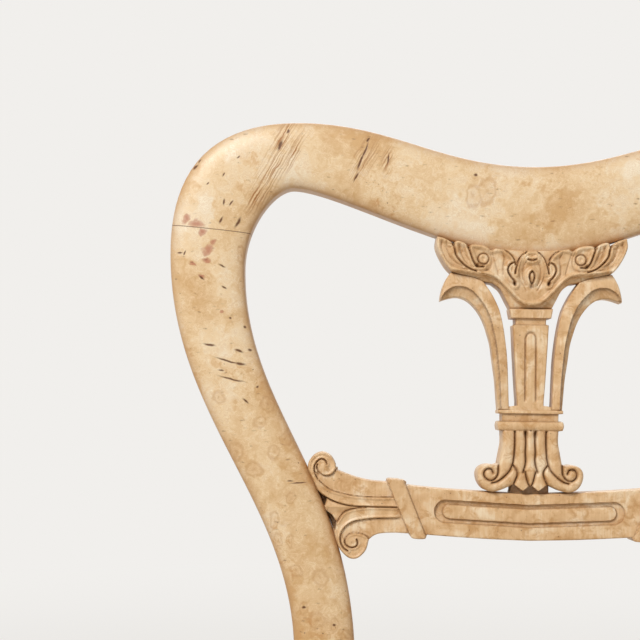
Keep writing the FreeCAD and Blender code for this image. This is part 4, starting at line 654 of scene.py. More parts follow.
def plain_wood(name, light, deep, roughness):
    """Sawn and planed beech or the like, with growth rings 3 mm apart drawn along each piece, and
    the short dark flecks of its rays. Unfinished inside the seat, so it is dull."""
    material, tree, shader, place = new_finish(name, roughness, 1.5)
    stretched = add_node(tree, "VectorMath", {"operation": "MULTIPLY"},
                         {0: place, 1: (0.02, 0.3, 0.3)}).outputs[0]
    grain = add_node(tree, "TexNoise",
                     inputs={"Vector": stretched, "Scale": 1.0, "Detail": 6.0,
                             "Distortion": 1.2}).outputs["Fac"]
    base = add_node(tree, "ValToRGB", inputs={"Fac": grain},
                    stops=[(0.35, light), (0.7, deep)]).outputs["Color"]
    flecks = add_node(tree, "VectorMath", {"operation": "MULTIPLY"},
                      {0: place, 1: (0.5, 1.4, 1.4)}).outputs[0]
    flecks = add_node(tree, "TexVoronoi", {"feature": "F1"},
                      {"Vector": flecks, "Scale": 1.0}).outputs["Distance"]
    flecks = add_node(tree, "ValToRGB", inputs={"Fac": flecks},
                      stops=[(0.12, 0.3), (0.3, 0.0)]).outputs["Color"]
    base = add_node(tree, "Mix", {"data_type": "RGBA"},
                    {FACTOR: flecks, FIRST: base, SECOND: linear("#8C6A44")}).outputs[MIXED]
    tree.links.new(base, shader.inputs["Base Color"])
    bump = add_node(tree, "Bump", inputs={"Height": grain, "Strength": 0.2, "Distance": 0.0003}).outputs[0]
    tree.links.new(bump, shader.inputs["Normal"])
    return material


def woven(name, light, shade, thread, roughness, sheen, strength):
    """A plain weave: threads over and under each other at their real spacing, in mm, each a little
    thicker or thinner, which gives a matt, slightly ribbed cloth."""
    material, tree, shader, place = new_finish(name, roughness, 1.45, sheen=sheen)
    uneven = add_node(tree, "TexNoise",
                      inputs={"Vector": place, "Scale": 1 / (thread * 9), "Detail": 3.0}).outputs["Color"]
    uneven = add_node(tree, "VectorMath", {"operation": "SCALE"},
                      {0: uneven, "Scale": thread * 1.2}).outputs[0]
    wavy = add_node(tree, "VectorMath", {"operation": "ADD"}, {0: place, 1: uneven}).outputs[0]
    parts = add_node(tree, "SeparateXYZ", inputs={0: wavy})
    depth = add_node(tree, "Math", {"operation": "ADD"},
                     {0: parts.outputs["Y"], 1: parts.outputs["Z"]}).outputs[0]
    threads = []
    for run in (parts.outputs["X"], depth):
        wave = add_node(tree, "Math", {"operation": "MULTIPLY"}, {0: run, 1: math.pi / thread}).outputs[0]
        threads.append(add_node(tree, "Math", {"operation": "SINE"}, {0: wave}).outputs[0])
    weave = add_node(tree, "Math", {"operation": "MULTIPLY"}, {0: threads[0], 1: threads[1]}).outputs[0]
    height = add_node(tree, "MapRange", inputs={"Value": weave, "From Min": -1.0}).outputs[0]
    slub = add_node(tree, "TexNoise",
                    inputs={"Vector": place, "Scale": 1 / (thread * 3), "Detail": 4.0}).outputs["Fac"]
    tone = add_node(tree, "Math", {"operation": "MULTIPLY_ADD"}, {0: slub, 1: 0.9, 2: height}).outputs[0]
    base = add_node(tree, "ValToRGB", inputs={"Fac": tone},
                    stops=[(0.3, shade), (1.1, light)]).outputs["Color"]
    tree.links.new(base, shader.inputs["Base Color"])
    bump = add_node(tree, "Bump",
                    inputs={"Height": height, "Strength": strength, "Distance": thread * MM * 0.5}).outputs[0]
    tree.links.new(bump, shader.inputs["Normal"])
    return material


def steel(name, colour, roughness):
    """Drawn steel wire, headed and left bright or blued. Fine scratches break its shine."""
    material, tree, shader, place = new_finish(name, roughness, metallic=1.0)
    scratches = add_node(tree, "TexNoise",
                         inputs={"Vector": place, "Scale": 2.0, "Detail": 4.0}).outputs["Fac"]
    base = add_node(tree, "ValToRGB", inputs={"Fac": scratches},
                    stops=[(0.3, colour), (0.75, "#B9B4AA")]).outputs["Color"]
    tree.links.new(base, shader.inputs["Base Color"])
    gloss = add_node(tree, "MapRange",
                     inputs={"Value": scratches, "To Min": roughness * 0.8,
                             "To Max": roughness * 1.4}).outputs[0]
    tree.links.new(gloss, shader.inputs["Roughness"])
    return material


FINISHES = {}


def finish_of(name):
    """Each material, made once and used by every piece of it."""
    colours = wishes()[3]
    makers = {
        "burr_wood": burr_wood,
        "carved_wood": carved_wood,
        "beech": lambda: plain_wood("planed_beech", "#E2C49A", "#CFA878", 0.6),
        "linen_cover": lambda: woven("linen_plain_weave", colours.linen, "#BDAF94", 1.1, 0.85, 0.3, 0.6),
        "jute_webbing": lambda: woven("jute_webbing", "#C9AE82", "#94774C", 1.6, 0.9, 0.1, 0.8),
        "hessian": lambda: woven("hessian", "#BFA272", "#7F6540", 1.8, 0.9, 0.1, 0.9),
        "hair_stuffing": lambda: woven("hair_stuffing", "#7A5F48", "#3C2C20", 0.9, 0.95, 0.1, 1.0),
        "screw_steel": lambda: steel("screw_steel", "#8F8B84", 0.35),
        "tack_steel": lambda: steel("blued_tack_steel", "#4A4C52", 0.4),
    }
    if name not in FINISHES:
        FINISHES[name] = makers[name]()
    return FINISHES[name]


def dress_all(slots):
    """Packed solids keep their shapes and get a finish."""
    for slot, names in slots.items():
        for name in names:
            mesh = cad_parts[name].data
            mesh.materials.clear()
            mesh.materials.append(finish_of(slot))


# The balloon of the back, half of it, outwards from the middle: crest to waist to seat rail

OUTER_CURVES = (
    ((0, 418.3), (59.3, 418.3), (89.4, 444.8), (148.4, 444.8)),
    ((148.4, 444.8), (199.4, 444.8), (231.7, 421.2), (231.7, 362.3)),
    ((231.7, 362.3), (231.7, 252.8), (148.4, 201.0), (148.4, 102.7)),
    ((148.4, 102.7), (148.4, 52.7), (181, 50), (181, 0)),
)
INNER_CURVES = (
    ((0, 360), (48.9, 360), (126.6, 402.3), (152.9, 402.3)),
    ((152.9, 402.3), (165.2, 402.3), (183.9, 378.1), (183.9, 351)),
    ((183.9, 351), (183.9, 257.5), (109.6, 218.1), (109.6, 93.5)),
    ((109.6, 93.5), (109.6, 43.5), (144, 50), (144, 0)),
)
STEPS_PER_CURVE = (44, 30, 60, 26)


def balloon():
    """Outer and inner edge of crest and upright, and which of their points is the joint."""
    outer, inner = [], []
    for k, count in enumerate(STEPS_PER_CURVE):
        first = bezier(OUTER_CURVES[k], 200)
        second = bezier(INNER_CURVES[k], 200)
        if k == 1:
            cut_out = int(np.argmin(np.abs(first[:, 1] - SEAM_OUT)))
            cut_in = int(np.argmin(np.abs(second[:, 1] - SEAM_IN)))
            early = int(count * 0.66)
            outer += [along(first[:cut_out + 1], early + 1)[1:],
                      along(first[cut_out:], count - early + 1)[1:]]
            inner += [along(second[:cut_in + 1], early + 1)[1:],
                      along(second[cut_in:], count - early + 1)[1:]]
            joint = sum(len(part) for part in outer[:-1]) - 1
        else:
            start = 0 if k == 0 else 1
            outer.append(along(first, count + 1)[start:])
            inner.append(along(second, count + 1)[start:])
    return np.vstack(outer), np.vstack(inner), joint


def to_leaning(y, z):
    """A place beside the chair (mm from back to front, mm over the floor) in the leaning back."""
    back = wishes()[0]
    lean = math.radians(back.rake)
    dy, dz = y - back.front_y, z - back.seat_rail_top
    return dy * math.cos(lean) - dz * math.sin(lean), dy * math.sin(lean) + dz * math.cos(lean)


def depth_behind(height):
    """Front to back size of the upright at a height over the seat rails."""
    swell = bezier(((0, 40), (39, 40), (39, 27), (78, 27)), 60)
    return float(np.interp(height, swell[:, 0], swell[:, 1]))


# The leg: depth of the seat rail behind it, slope and length of its curve's handles, where the foot
# stands, and the leg's edges at the rail with how far they spread at the floor
RAIL_DEPTH = 62.0
LEG_SLOPE, LEG_HANDLE = 21.0, 140.0
FOOT_FRONT, FOOT_BACK = 51.0, 82.0
LEG_OUT, LEG_IN = 181.0, 144.0
SPREAD_OUT, SPREAD_IN = 8.0, 16.0


def upright_rings(side):
    """Rings of an upright and its leg, from the joint with the crest to the floor."""
    back = wishes()[0]
    outer, inner, joint = balloon()
    rings = []
    for (ox, oz), (ix, iz) in zip(outer[joint:], inner[joint:]):
        height = (oz + iz) / 2
        depth = depth_behind(height)
        width = math.hypot(ox - ix, oz - iz)
        ease = float(rise(np.array(height), -5.0, 45.0))
        front = 2.0 + (back.front_round - 2.0) * ease
        fullness = back.front_fullness + 6.0 * (1 - ease)
        section = pillow_section(width, depth, front, fullness, back.back_round - 2.0 * (1 - ease))
        rings.append(band_ring((side * ox, 0, oz), (side * ix, 0, iz), (0, depth, 0), section, width, depth))
    rail_low = -RAIL_DEPTH / math.cos(math.radians(back.rake))
    lean = math.radians(LEG_SLOPE)
    handle = (LEG_HANDLE * math.sin(lean), LEG_HANDLE * math.cos(lean))
    foot_front, foot_back = back.front_y + FOOT_FRONT, back.front_y + FOOT_BACK
    front_curve = bezier(((0, rail_low), (0, rail_low - 120), to_leaning(foot_front - handle[0], handle[1]),
                          to_leaning(foot_front, 0)), 40)
    back_curve = bezier(((40, rail_low), (40, rail_low - 120), to_leaning(foot_back - handle[0], handle[1]),
                         to_leaning(foot_back, 0)), 40)
    level = [((0, z), (40, z)) for z in np.linspace(0, rail_low, 6)[1:-1]]
    low = to_leaning(back.front_y, 0)[1] - 20
    for near, far in level + list(zip(front_curve, back_curve)):
        share = max(0.0, (rail_low - near[1]) / (rail_low - low))
        outside, inside = LEG_OUT + SPREAD_OUT * share, LEG_IN + SPREAD_IN * share
        width = outside - inside
        depth = math.hypot(far[0] - near[0], far[1] - near[1])
        section = pillow_section(width, depth, 2.0, back.front_fullness + 6.0, back.back_round - 2.0)
        inward = (0, far[0] - near[0], far[1] - near[1])
        rings.append(band_ring((side * outside, near[0], near[1]), (side * inside, near[0], near[1]),
                               inward, section, width, depth))
    return rings


class LYRE_OT_crest(bpy.types.Operator):
    """Crest rail: an arched board with a crowned front"""
    bl_idname = "lyre_chair.crest"
    bl_label = "Crest Rail"

    def execute(self, context):
        back = wishes()[0]
        outer, inner, joint = balloon()
        half = []
        for (ox, oz), (ix, iz) in zip(outer[:joint + 1], inner[:joint + 1]):
            width = math.hypot(ox - ix, oz - iz)
            section = pillow_section(width, back.thickness, back.front_round, back.front_fullness,
                                     back.back_round)
            half.append((ox, oz, ix, iz, section, width))
        rings = []
        for side, stations in ((-1, half[::-1]), (1, half[1:])):
            for ox, oz, ix, iz, section, width in stations:
                rings.append(band_ring((side * ox, 0, oz), (side * ix, 0, iz), (0, back.thickness, 0),
                                       section, width, back.thickness))
        places, faces = loft(rings)
        as_piece("crest", on_back(places), faces, finish_of("burr_wood"), BODY_CHAIR,
                 ["crest_rail"], angle=50)
        return {"FINISHED"}


class LYRE_OT_uprights(bpy.types.Operator):
    """Both uprights with their rear legs"""
    bl_idname = "lyre_chair.uprights"
    bl_label = "Uprights"

    def execute(self, context):
        for word, side in (("left", -1), ("right", 1)):
            places, faces = loft(upright_rings(side))
            as_piece(word + "_upright", on_back(places), faces, finish_of("burr_wood"), BODY_CHAIR,
                     [word + "_stile"], angle=50)
        return {"FINISHED"}


# Carved work: lines that the carver cut, outwards from the middle and up along the back, in mm

def cuts(lines, points):
    """Distance to the nearest of several cut lines."""
    nearest = np.full(len(points), 1e9)
    for line in lines:
        nearest = np.minimum(nearest, distance_to(smooth(line), points))
    return nearest


def v_cut(distance, depth, half_width):
    """A rounded groove, as a gouge leaves it."""
    return -depth * np.exp(-(distance / half_width) ** 2)


def waxed(distance, reach=0.6):
    """Old wax near a cut."""
    return np.exp(-(distance / (0.72 * reach)) ** 2)


def eased(edge, radius):
    """A board's edge, rounded over."""
    d = np.clip(edge, 0, radius)
    return -(radius - np.sqrt(np.maximum(radius ** 2 - (radius - d) ** 2, 0)))


RAIL_OUTLINE = [
    [(0, 208.2), (29, 209.4), (50.4, 210.5), (67.4, 211.8), (78.6, 213)],
    [(78.6, 213), (79.6, 215.8), (89.3, 216.8), (91.0, 214.6)],
    [(91.0, 214.6), (100.8, 215.4), (110, 217.4), (118.5, 220.3), (123.2, 222.2)],
    [(123.2, 222.2), (123.8, 226.6), (127.2, 231.5), (132.7, 233.3), (137.6, 231), (140.9, 226.4),
     (141.2, 222)],
    [(141.2, 222), (136.6, 212.4), (131, 200), (127, 190.4), (124.6, 184.2)],
    [(124.6, 184.2), (122.6, 177.0), (119.7, 171), (114.2, 166.2), (108.8, 166.4), (103.9, 171.2),
     (101.8, 178.3)],
    [(101.8, 178.3), (98.5, 180.8), (93.7, 182.2), (85.2, 182.6), (76.6, 182.3)],
    [(76.6, 182.3), (74.2, 179.4), (66.7, 179.2), (65, 181.6)],
    [(65, 181.6), (41.5, 180.2), (24.5, 179.4), (0, 178.7)],
    [(0, 178.7), (0, 208.2)],
]
RAIL_CUTS = [
    [(129.2, 225.5), (130.1, 227.5), (131.9, 228.7), (134, 228.3), (136.1, 226.3), (137.1, 223.9),
     (136.9, 220.3), (134.9, 216.1), (131.3, 212.7), (126.3, 209.2), (119.2, 207.2), (110.7, 205.6),
     (98.3, 205), (86.6, 205.2)],
    [(123.3, 222.5), (124.7, 220.5), (126.5, 218.9), (129.6, 218.2), (132.5, 218.8), (134.6, 221.1),
     (135.6, 223.5), (135.2, 225.3)],
    [(135.2, 209.1), (131.9, 206.3), (127.7, 203.5), (122, 201.2), (114.9, 199.5), (106.4, 198.9),
     (84.5, 198.7)],
    [(122.2, 188.9), (120.1, 192.4), (117.7, 195.2), (114.1, 196.8), (109.2, 198), (103.6, 198.6)],
    [(115.2, 170.8), (117.7, 172.4), (119.5, 175.2), (120.1, 179), (119.3, 182.6), (116.8, 186.1),
     (112.6, 189), (107.7, 190.3), (98.2, 191.5), (80.8, 191.9)],
    [(102, 178.9), (103.7, 180.5), (106.5, 181.7), (110.4, 182.2), (113.6, 181.8), (115.7, 180.4),
     (117.2, 177.8), (116.8, 175.2), (114.9, 173.5), (112.4, 173), (110, 173.9), (109.1, 176),
     (109.7, 178.1)],
]
RIBBON = [(90.6, 215.4), (80.1, 215.0), (66.0, 180.6), (75.6, 180.8)]
# The triangular fields over and under the bands, cut back a little
FIELDS = (
    ((86.6, 205.2), (98.3, 205), (110.7, 205.6), (119.2, 207.2), (126.3, 209.2), (131.3, 212.7),
     (134.9, 216.1), (136.6, 220.3), (134.6, 221.1), (132.5, 218.8), (129.6, 218.2), (126.5, 218.9),
     (124.7, 220.5), (123.2, 223.5), (110, 220), (86, 218)),
    ((80.8, 191.9), (98.2, 191.5), (107.7, 190.3), (112.6, 189), (116.8, 186.1), (119.3, 182.6),
     (119.4, 179.6), (117.2, 177.8), (115.7, 180.4), (113.6, 181.8), (110.4, 182.2), (106.5, 181.7),
     (103.7, 180.5), (101.8, 177.6), (98, 178), (75, 179)),
)
# The open corners beside the tongue, where the edge of the upright shows; they are cut back deep and painted
# fully dark as shade
OPENINGS = (
    ((137.5, 213.4), (135.2, 209.1), (131.9, 206.3), (128.6, 204.6), (129.2, 201.4), (130.3, 198.2),
     (132.4, 202.1)),
    ((130.6, 197.4), (125.4, 193.7), (122.4, 189), (123.3, 183.6), (125.6, 185.6), (128, 191)),
)


def rounded(distance, radius):
    """From 0 at an edge to 1 at a radius inside it, as a quarter round."""
    return np.sqrt(np.clip(1 - (1 - np.clip(distance, 0, radius) / radius) ** 2, 0, 1))


def rail_surface(points, edge):
    x, z = points.T
    level = np.full(len(points), -2.0)
    lines = cuts(RAIL_CUTS, points)
    # The scrolled end stands a little proud and its bands are round
    end = rise(x, 80, 86)
    near = np.minimum(lines, edge)
    swell = 1.9 * rounded(near, 1.2) - 0.7 * rise(near, 0.9, 2.4) - 0.2
    for field in FIELDS:
        line = np.array(field + field[:1])
        inside = is_inside(line, points)
        sunk = rise(distance_to(line, points), 0.0, 0.8)
        swell = np.where(inside, np.minimum(swell, 0.5 - 0.9 * sunk), swell)
    level = level + end * swell
    for boss, radius in (((131.3, 223.6), 4.2), ((113.2, 177.2), 3.6)):
        far = np.hypot(x - boss[0], z - boss[1])
        level = level + 0.9 * np.clip(1 - (far / radius) ** 2, 0, 1)
    # The tongue has a ridge and hollow sides
    tongue = is_inside(np.array([(106.4, 198.8), (114.9, 199.5), (122, 201.2), (128.6, 204.6),
                                 (130.4, 198.2), (125.4, 193.9), (122.2, 189), (120.1, 192.4),
                                 (117.7, 195.2), (114.1, 196.8)]),
                       points)
    ridge = np.abs(z - 198.3)
    level = np.where(tongue, -1.3 - 1.0 * rise(ridge, 0, 4.0) - 0.4 * rise(198.3 - z, 0, 0.6), level)
    level = level + end * v_cut(lines, 1.0, 0.42)
    for opening in OPENINGS:
        line = np.array(opening + opening[:1])
        cut_back = level - 11.0 * rise(distance_to(line, points), 0.0, 0.7)
        level = np.where(is_inside(line, points), cut_back, level)
    # Sunk channel with a reed
    middle = np.interp(x, [0, 54.5], [194.0, 196.6])
    slot = np.hypot(np.clip(x - 53.4, 0, None), z - middle)
    reed = np.hypot(np.clip(x - 50.8, 0, None), z - middle)
    raised = rise(-reed, -4.9, -4.1) * (1.2 + 0.9 * rounded(5.0 - reed, 4.5))
    sunk = level - 2.3 * rise(-slot, -7.5, -6.7) + raised
    level = np.where(end < 0.01, sunk, level)
    # Ribbon across the rail
    (ax, az), (bx, bz), (cx, cz), (dx, dz) = RIBBON
    left = np.interp(z, [dz, az], [dx, ax])
    right = np.interp(z, [cz, bz], [cx, bx])
    inset = np.minimum(left - x, x - right)
    ribbon = rise(inset, -0.5, 0.2)
    face = 1.1 - 0.5 * np.clip(1 - inset / 1.4, 0, 1) ** 2
    level = level * (1 - ribbon) + face * ribbon
    level = level + eased(edge, 0.9)
    wax = np.maximum(0.8 * end * waxed(lines, 0.55), 0.75 * waxed(np.abs(inset + 0.5), 0.4))
    channel = 0.6 * waxed(np.abs(slot - 7.0), 0.4) + 0.7 * waxed(np.abs(reed - 4.8), 0.6)
    channel = np.where(end < 0.01, channel, 0)
    # Painted shade: the deep openings are coloured fully dark
    wax = np.where(level < -6, 1.0, np.maximum(wax, channel))
    wax = wax * (1 - ribbon) + 0.05 * ribbon
    return level, np.clip(wax, 0, 1)


class LYRE_OT_cross_rail(bpy.types.Operator):
    """Cross rail with scrolls, tongues, ribbons and a reeded channel"""
    bl_idname = "lyre_chair.cross_rail"
    bl_label = "Cross Rail"

    def execute(self, context):
        carved("scrolled_cross_rail", RAIL_OUTLINE, rail_surface, 23.0, finish_of("carved_wood"),
               ["cross_rail"])
        return {"FINISHED"}


PALMETTE_OUTLINE = [
    [(0, 363.0), (2.7, 363.2), (12, 363.5), (22.3, 364.7)],
    [(22.3, 364.7), (26.4, 363.6)],
    [(26.4, 363.6), (30.5, 366.0), (35.5, 366.8), (38.6, 366.6), (40.6, 365.6)],
    [(40.6, 365.6), (43.9, 368.0), (48.1, 369.0), (50.3, 367.2)],
    [(50.3, 367.2), (55.2, 370.2), (60.6, 371.8)],
    [(60.6, 371.8), (61.2, 366.4), (59.6, 361.3), (56.9, 356.1), (54, 352), (50.9, 348.9)],
    [(50.9, 348.9), (44.3, 347.2), (36.9, 345.6), (31, 343.4), (24.8, 342.4)],
    [(24.8, 342.4), (19.6, 338.2), (16, 331.8), (13.2, 326.4)],
    [(13.2, 326.4), (0, 326.2)],
    [(0, 326.2), (0, 363.0)],
]
RIM = [(50.9, 349.8), (44.7, 349), (36.9, 348), (30.5, 347.6), (24.1, 345.8), (19.2, 341.9),
       (14.2, 336.5), (8.8, 331.2), (4.9, 328.8), (0, 328)]
LEAF_CUTS = [
    [(50.8, 367.0), (49.5, 363.6), (48.6, 359.7), (45.2, 355.2), (40.6, 351.6), (35.5, 349.6)],
    [(40.9, 365.6), (39.4, 361), (37.2, 355.4), (34.6, 352.6), (31, 352.6)],
    [(22.3, 364.5), (17.9, 363.6), (13.4, 360.2), (11.5, 357.5), (10.6, 354.0)],
    [(11.8, 355.4), (13.9, 354.3), (15.3, 351.7), (15, 348.9), (13.1, 345.7), (11.4, 343.9), (10.6, 341.1)],
    [(2.9, 363), (7.2, 359), (9.3, 354.7), (10.3, 351.1), (10.8, 348.4)],
    [(2.6, 357.6), (0.4, 357.0)],
    [(0, 349.9), (1.2, 348.6), (1.6, 346.4), (0.9, 343.6), (0, 341.8)],
]
# Lighter strokes of the gouge inside the leaves
FLUTES = [
    [(57.6, 369), (57.9, 364), (55.6, 358.4), (51.8, 354), (46.8, 351.6), (41, 350.4)],
    [(54.6, 368.4), (54.4, 364), (52, 358.6), (48.4, 354.8), (44, 352.4)],
    [(46.6, 366.6), (45.6, 362), (43.6, 357.4), (40.4, 353.8), (37.4, 352)],
    [(43.6, 366), (42.6, 361), (40.4, 356.4)],
    [(25.4, 361.6), (24.4, 358), (22.9, 353), (21.4, 347.6)],
    [(5.8, 359.6), (7.5, 354), (8.2, 349.7), (7.1, 344), (3.5, 337.6)],
    [(3.6, 356.4), (5.4, 352), (5.6, 346), (3.4, 341)],
    [(28.5, 350.6), (31.6, 349.4), (36, 350.6)],
    [(19.6, 362.4), (17.6, 358), (18.4, 352.6), (18.2, 348)],
    [(27.5, 362.8), (25.8, 358.5), (26, 353.5), (27.6, 350.4)],
    [(52, 366.6), (54.8, 367.4)],
    [(51.6, 364.6), (55, 365)],
    [(43.6, 362), (46.4, 363.2)],
]
# Round pits between the leaf tips, painted dark as the shadow behind them: place and radius
NOTCHES = ((50.4, 366.8, 1.0), (40.7, 365.2, 1.1), (25.8, 364.0, 1.4), (35.0, 353.2, 1.2), (11, 342.2, 1.4),
           (0, 340.4, 1.6))


def palmette_surface(points, edge):
    x, z = points.T
    rim = distance_to(smooth(RIM), points)
    order = np.argsort([p[0] for p in RIM])
    rim_z = np.interp(x, np.array([p[0] for p in RIM])[order], np.array([p[1] for p in RIM])[order])
    over = z >= rim_z
    leaves = cuts(LEAF_CUTS, points)
    flutes = cuts(FLUTES, points)
    near = np.minimum(np.minimum(leaves, edge), np.where(over, rim, 1e9))
    level = 1.0 + 2.1 * rounded(near, 1.3) - 1.7 * rise(near, 1.2, 3.8) + 0.4 * rise(z, 350, 362)
    level = level + v_cut(flutes, 0.7, 0.55)
    # Round eye, a plain ring with a hollow in the middle
    eye = np.hypot(x - 31.1, z - 357.6)
    level = np.where(eye < 4.2, 1.6 + 1.0 * rounded(3.2 - np.minimum(eye, 3.2), 2.4)
                     - 1.1 * np.exp(-(eye / 1.3) ** 2) - 1.2 * waxed(np.abs(eye - 3.4), 0.5), level)
    wedge = is_inside(np.array([(17.5, 364.6), (2.9, 364.6), (7.2, 359), (9.6, 354.6), (11.5, 357.5),
                                (13.4, 360.2)]),
                      points)
    level = np.where(wedge, 0.2, level)
    dark = np.zeros(len(points))
    for notch_x, notch_z, size in NOTCHES:
        dark = np.maximum(dark, np.exp(-(np.hypot(x - notch_x, z - notch_z) / size) ** 2))
    level = level - 2.6 * dark
    # Cup under the rim, hollowed down to the block
    share = np.clip(rim / np.maximum(rim + edge, 0.01), 0, 1)
    cup = 2.6 * (1 - rise(share, 0.0, 0.25)) + 0.6 - 2.6 * share ** 0.8 - 0.5
    level = np.where(over, level, cup)
    level = level + v_cut(leaves, 1.3, 0.5) * over + eased(edge, 0.6)
    wax = np.maximum(0.85 * waxed(leaves, 0.5) * over, 0.6 * waxed(rim, 0.4))
    wax = np.maximum(wax, 0.35 * waxed(flutes, 0.45) * over)
    wax = np.maximum(wax, 0.7 * waxed(np.abs(eye - 3.4), 0.45))
    # Painted shadow in the pits between the leaf tips
    wax = np.maximum(wax, dark)
    wax = np.maximum(wax, 0.08 * rise(near, 1.8, 3.6) * over * ~wedge)
    return level, np.clip(wax, 0, 1)


class LYRE_OT_palmette(bpy.types.Operator):
    """Carved leaf capital of the lyre"""
    bl_idname = "lyre_chair.palmette"
    bl_label = "Palmette"

    def execute(self, context):
        carved("leaf_capital", PALMETTE_OUTLINE, palmette_surface, 20.0, finish_of("carved_wood"),
               ["palmette"])
        return {"FINISHED"}


HORN_OUTLINE = [
    [(58.1, 330.8), (57.6, 335), (56.2, 340.4), (54, 345.2), (51.6, 348.8)],
    [(51.6, 348.8), (44.3, 347.4), (36.9, 346), (30.9, 343.6)],
    [(30.9, 343.6), (26.2, 337), (22.5, 330.3), (20, 324.2), (18, 315.9), (16.4, 306), (15.1, 294.4),
     (14.4, 280.8), (13.9, 266), (13.4, 261.4)],
    [(13.4, 261.4), (20.5, 261.4)],
    [(20.5, 261.4), (21.2, 270), (22.1, 280.7), (23.9, 293), (25.3, 303), (27.2, 309.9), (29.3, 316.2),
     (32.4, 322.5), (36.8, 328.2), (41.6, 331.9), (47, 333.4), (52.6, 332.6), (58.1, 330.8)],
]
HORN_RIDGE = [(58, 331.3), (56.2, 335.2), (52.5, 338.5), (48.6, 340.1), (43.8, 340.1), (38.8, 338.2),
              (33.9, 333.8), (29.5, 328), (26, 320.7), (23.9, 313.3), (21.9, 304), (20.5, 293.1),
              (19.2, 278.4), (18.4, 261.2)]


def horn_surface(points, edge):
    ridge_line = smooth(HORN_RIDGE)
    ridge = distance_to(ridge_line, points)
    outer = join_runs([ridge_line, smooth(HORN_OUTLINE[4])])
    hollow = is_inside(outer, points) | (distance_to(smooth(HORN_OUTLINE[4]), points) < 0.1)
    share = np.clip(ridge / np.maximum(ridge + edge, 0.01), 0, 1)
    # The inner face is broad and nearly flat, the outer one drops from the ridge and is hollowed
    inner_face = -0.7 - 0.9 * share
    outer_face = -0.7 - 1.5 * rise(ridge, 0.0, 0.7) - 2.4 * share ** 0.8
    level = np.where(hollow, outer_face, inner_face) + eased(edge, 0.5)
    # Painted shade darkens the hollowed outer face, most just below the ridge
    wax = np.where(hollow, 0.3 - 0.2 * share + 0.55 * waxed(ridge - 0.5, 1.0), 0.0)
    return level, np.clip(wax, 0, 1)


class LYRE_OT_horns(bpy.types.Operator):
    """Both horns of the lyre, faceted to a ridge"""
    bl_idname = "lyre_chair.horns"
    bl_label = "Horns"

    def execute(self, context):
        for word, side in (("left", -1), ("right", 1)):
            carved(word + "_carved_horn", HORN_OUTLINE, horn_surface, 16.5, finish_of("carved_wood"),
                   [word + "_horn"], side=side, seam=False)
        return {"FINISHED"}


COLUMN_OUTLINE = [
    [(0, 326.2), (13.9, 326.2)],
    [(13.9, 326.2), (12.8, 320.2)],
    [(12.8, 320.2), (9.8, 320.0)],
    [(9.8, 320.0), (9.7, 316.4)],
    [(9.7, 316.4), (11.4, 315.8)],
    [(11.4, 315.8), (10.6, 300), (9.4, 280), (8.5, 268), (8.4, 264.4)],
    [(8.4, 264.4), (13.4, 263.4), (13.6, 260.2)],
    [(13.6, 260.2), (0, 260.2)],
    [(0, 260.2), (0, 326.2)],
]


def column_surface(points, edge):
    x, z = points.T
    level = np.full(len(points), -1.6)
    level = level + 1.2 * rise(z, 319.7, 320.3) - 1.0 * rise(z, 315.6, 316.2) * (1 - rise(z, 319.7, 320.3))
    arch = np.hypot(x / 3.4, np.clip(z - 306.5, 0, None) / 4.4)
    line = np.abs(arch - 1) * 3.4
    inside = rise(z, 266, 268)
    level = level + v_cut(line, 1.3, 0.6) * inside
    level = level + eased(edge, 0.8)
    wax = np.maximum(0.7 * waxed(line, 0.5) * inside, 0.7 * waxed(np.abs(z - 315.9), 0.45))
    wax = np.maximum(wax, 0.6 * waxed(np.abs(z - 320), 0.5))
    return level, wax


class LYRE_OT_column(bpy.types.Operator):
    """Panelled column of the lyre with its block"""
    bl_idname = "lyre_chair.column"
    bl_label = "Column"

    def execute(self, context):
        carved("panelled_column", COLUMN_OUTLINE, column_surface, 20.0, finish_of("carved_wood"), ["column"])
        return {"FINISHED"}


FOOT_OUTLINE = [
    [(0, 261.3), (20.6, 261.5)],
    [(20.6, 261.5), (20.7, 259.4)],
    [(20.7, 259.4), (18, 259.1)],
    [(18, 259.1), (17.9, 254.6)],
    [(17.9, 254.6), (20.2, 254.3), (21, 251.6), (20.4, 248.7)],
    [(20.4, 248.7), (18, 248.2)],
    [(18, 248.2), (17.8, 241), (18.9, 234.5), (20.2, 227.4)],
    [(20.2, 227.4), (22.8, 226.6), (26.1, 227), (30, 226.2), (32.9, 223.9), (33.9, 220.2), (32.8, 215.4),
     (29.8, 211.4), (25.5, 209.6), (20.8, 210), (16.1, 211.8), (10.6, 214.4)],
    [(10.6, 214.4), (12.5, 208.8)],
    [(12.5, 208.8), (0, 208.3)],
    [(0, 208.3), (0, 261.3)],
]
FOOT_CUTS = [
    [(10, 248), (9.9, 241), (10.2, 234.6), (11, 228.2), (13, 223.2), (16.6, 219.2), (20.6, 216.2),
     (24.4, 215)],
    [(3.3, 248), (2.9, 241), (3.2, 234.7), (3, 228.3), (4.6, 222)],
    [(10.9, 226.5), (8.2, 221.4), (10.6, 214.4)],
    [(3.4, 222.4), (1.6, 215.6), (0, 212.8)],
    [(20.3, 227), (20.6, 220.8), (22.8, 217.5), (25.8, 216.6), (28.6, 218.3), (29.5, 221.2),
     (27.8, 223.7), (24.8, 223.6), (23.6, 221.2)],
]


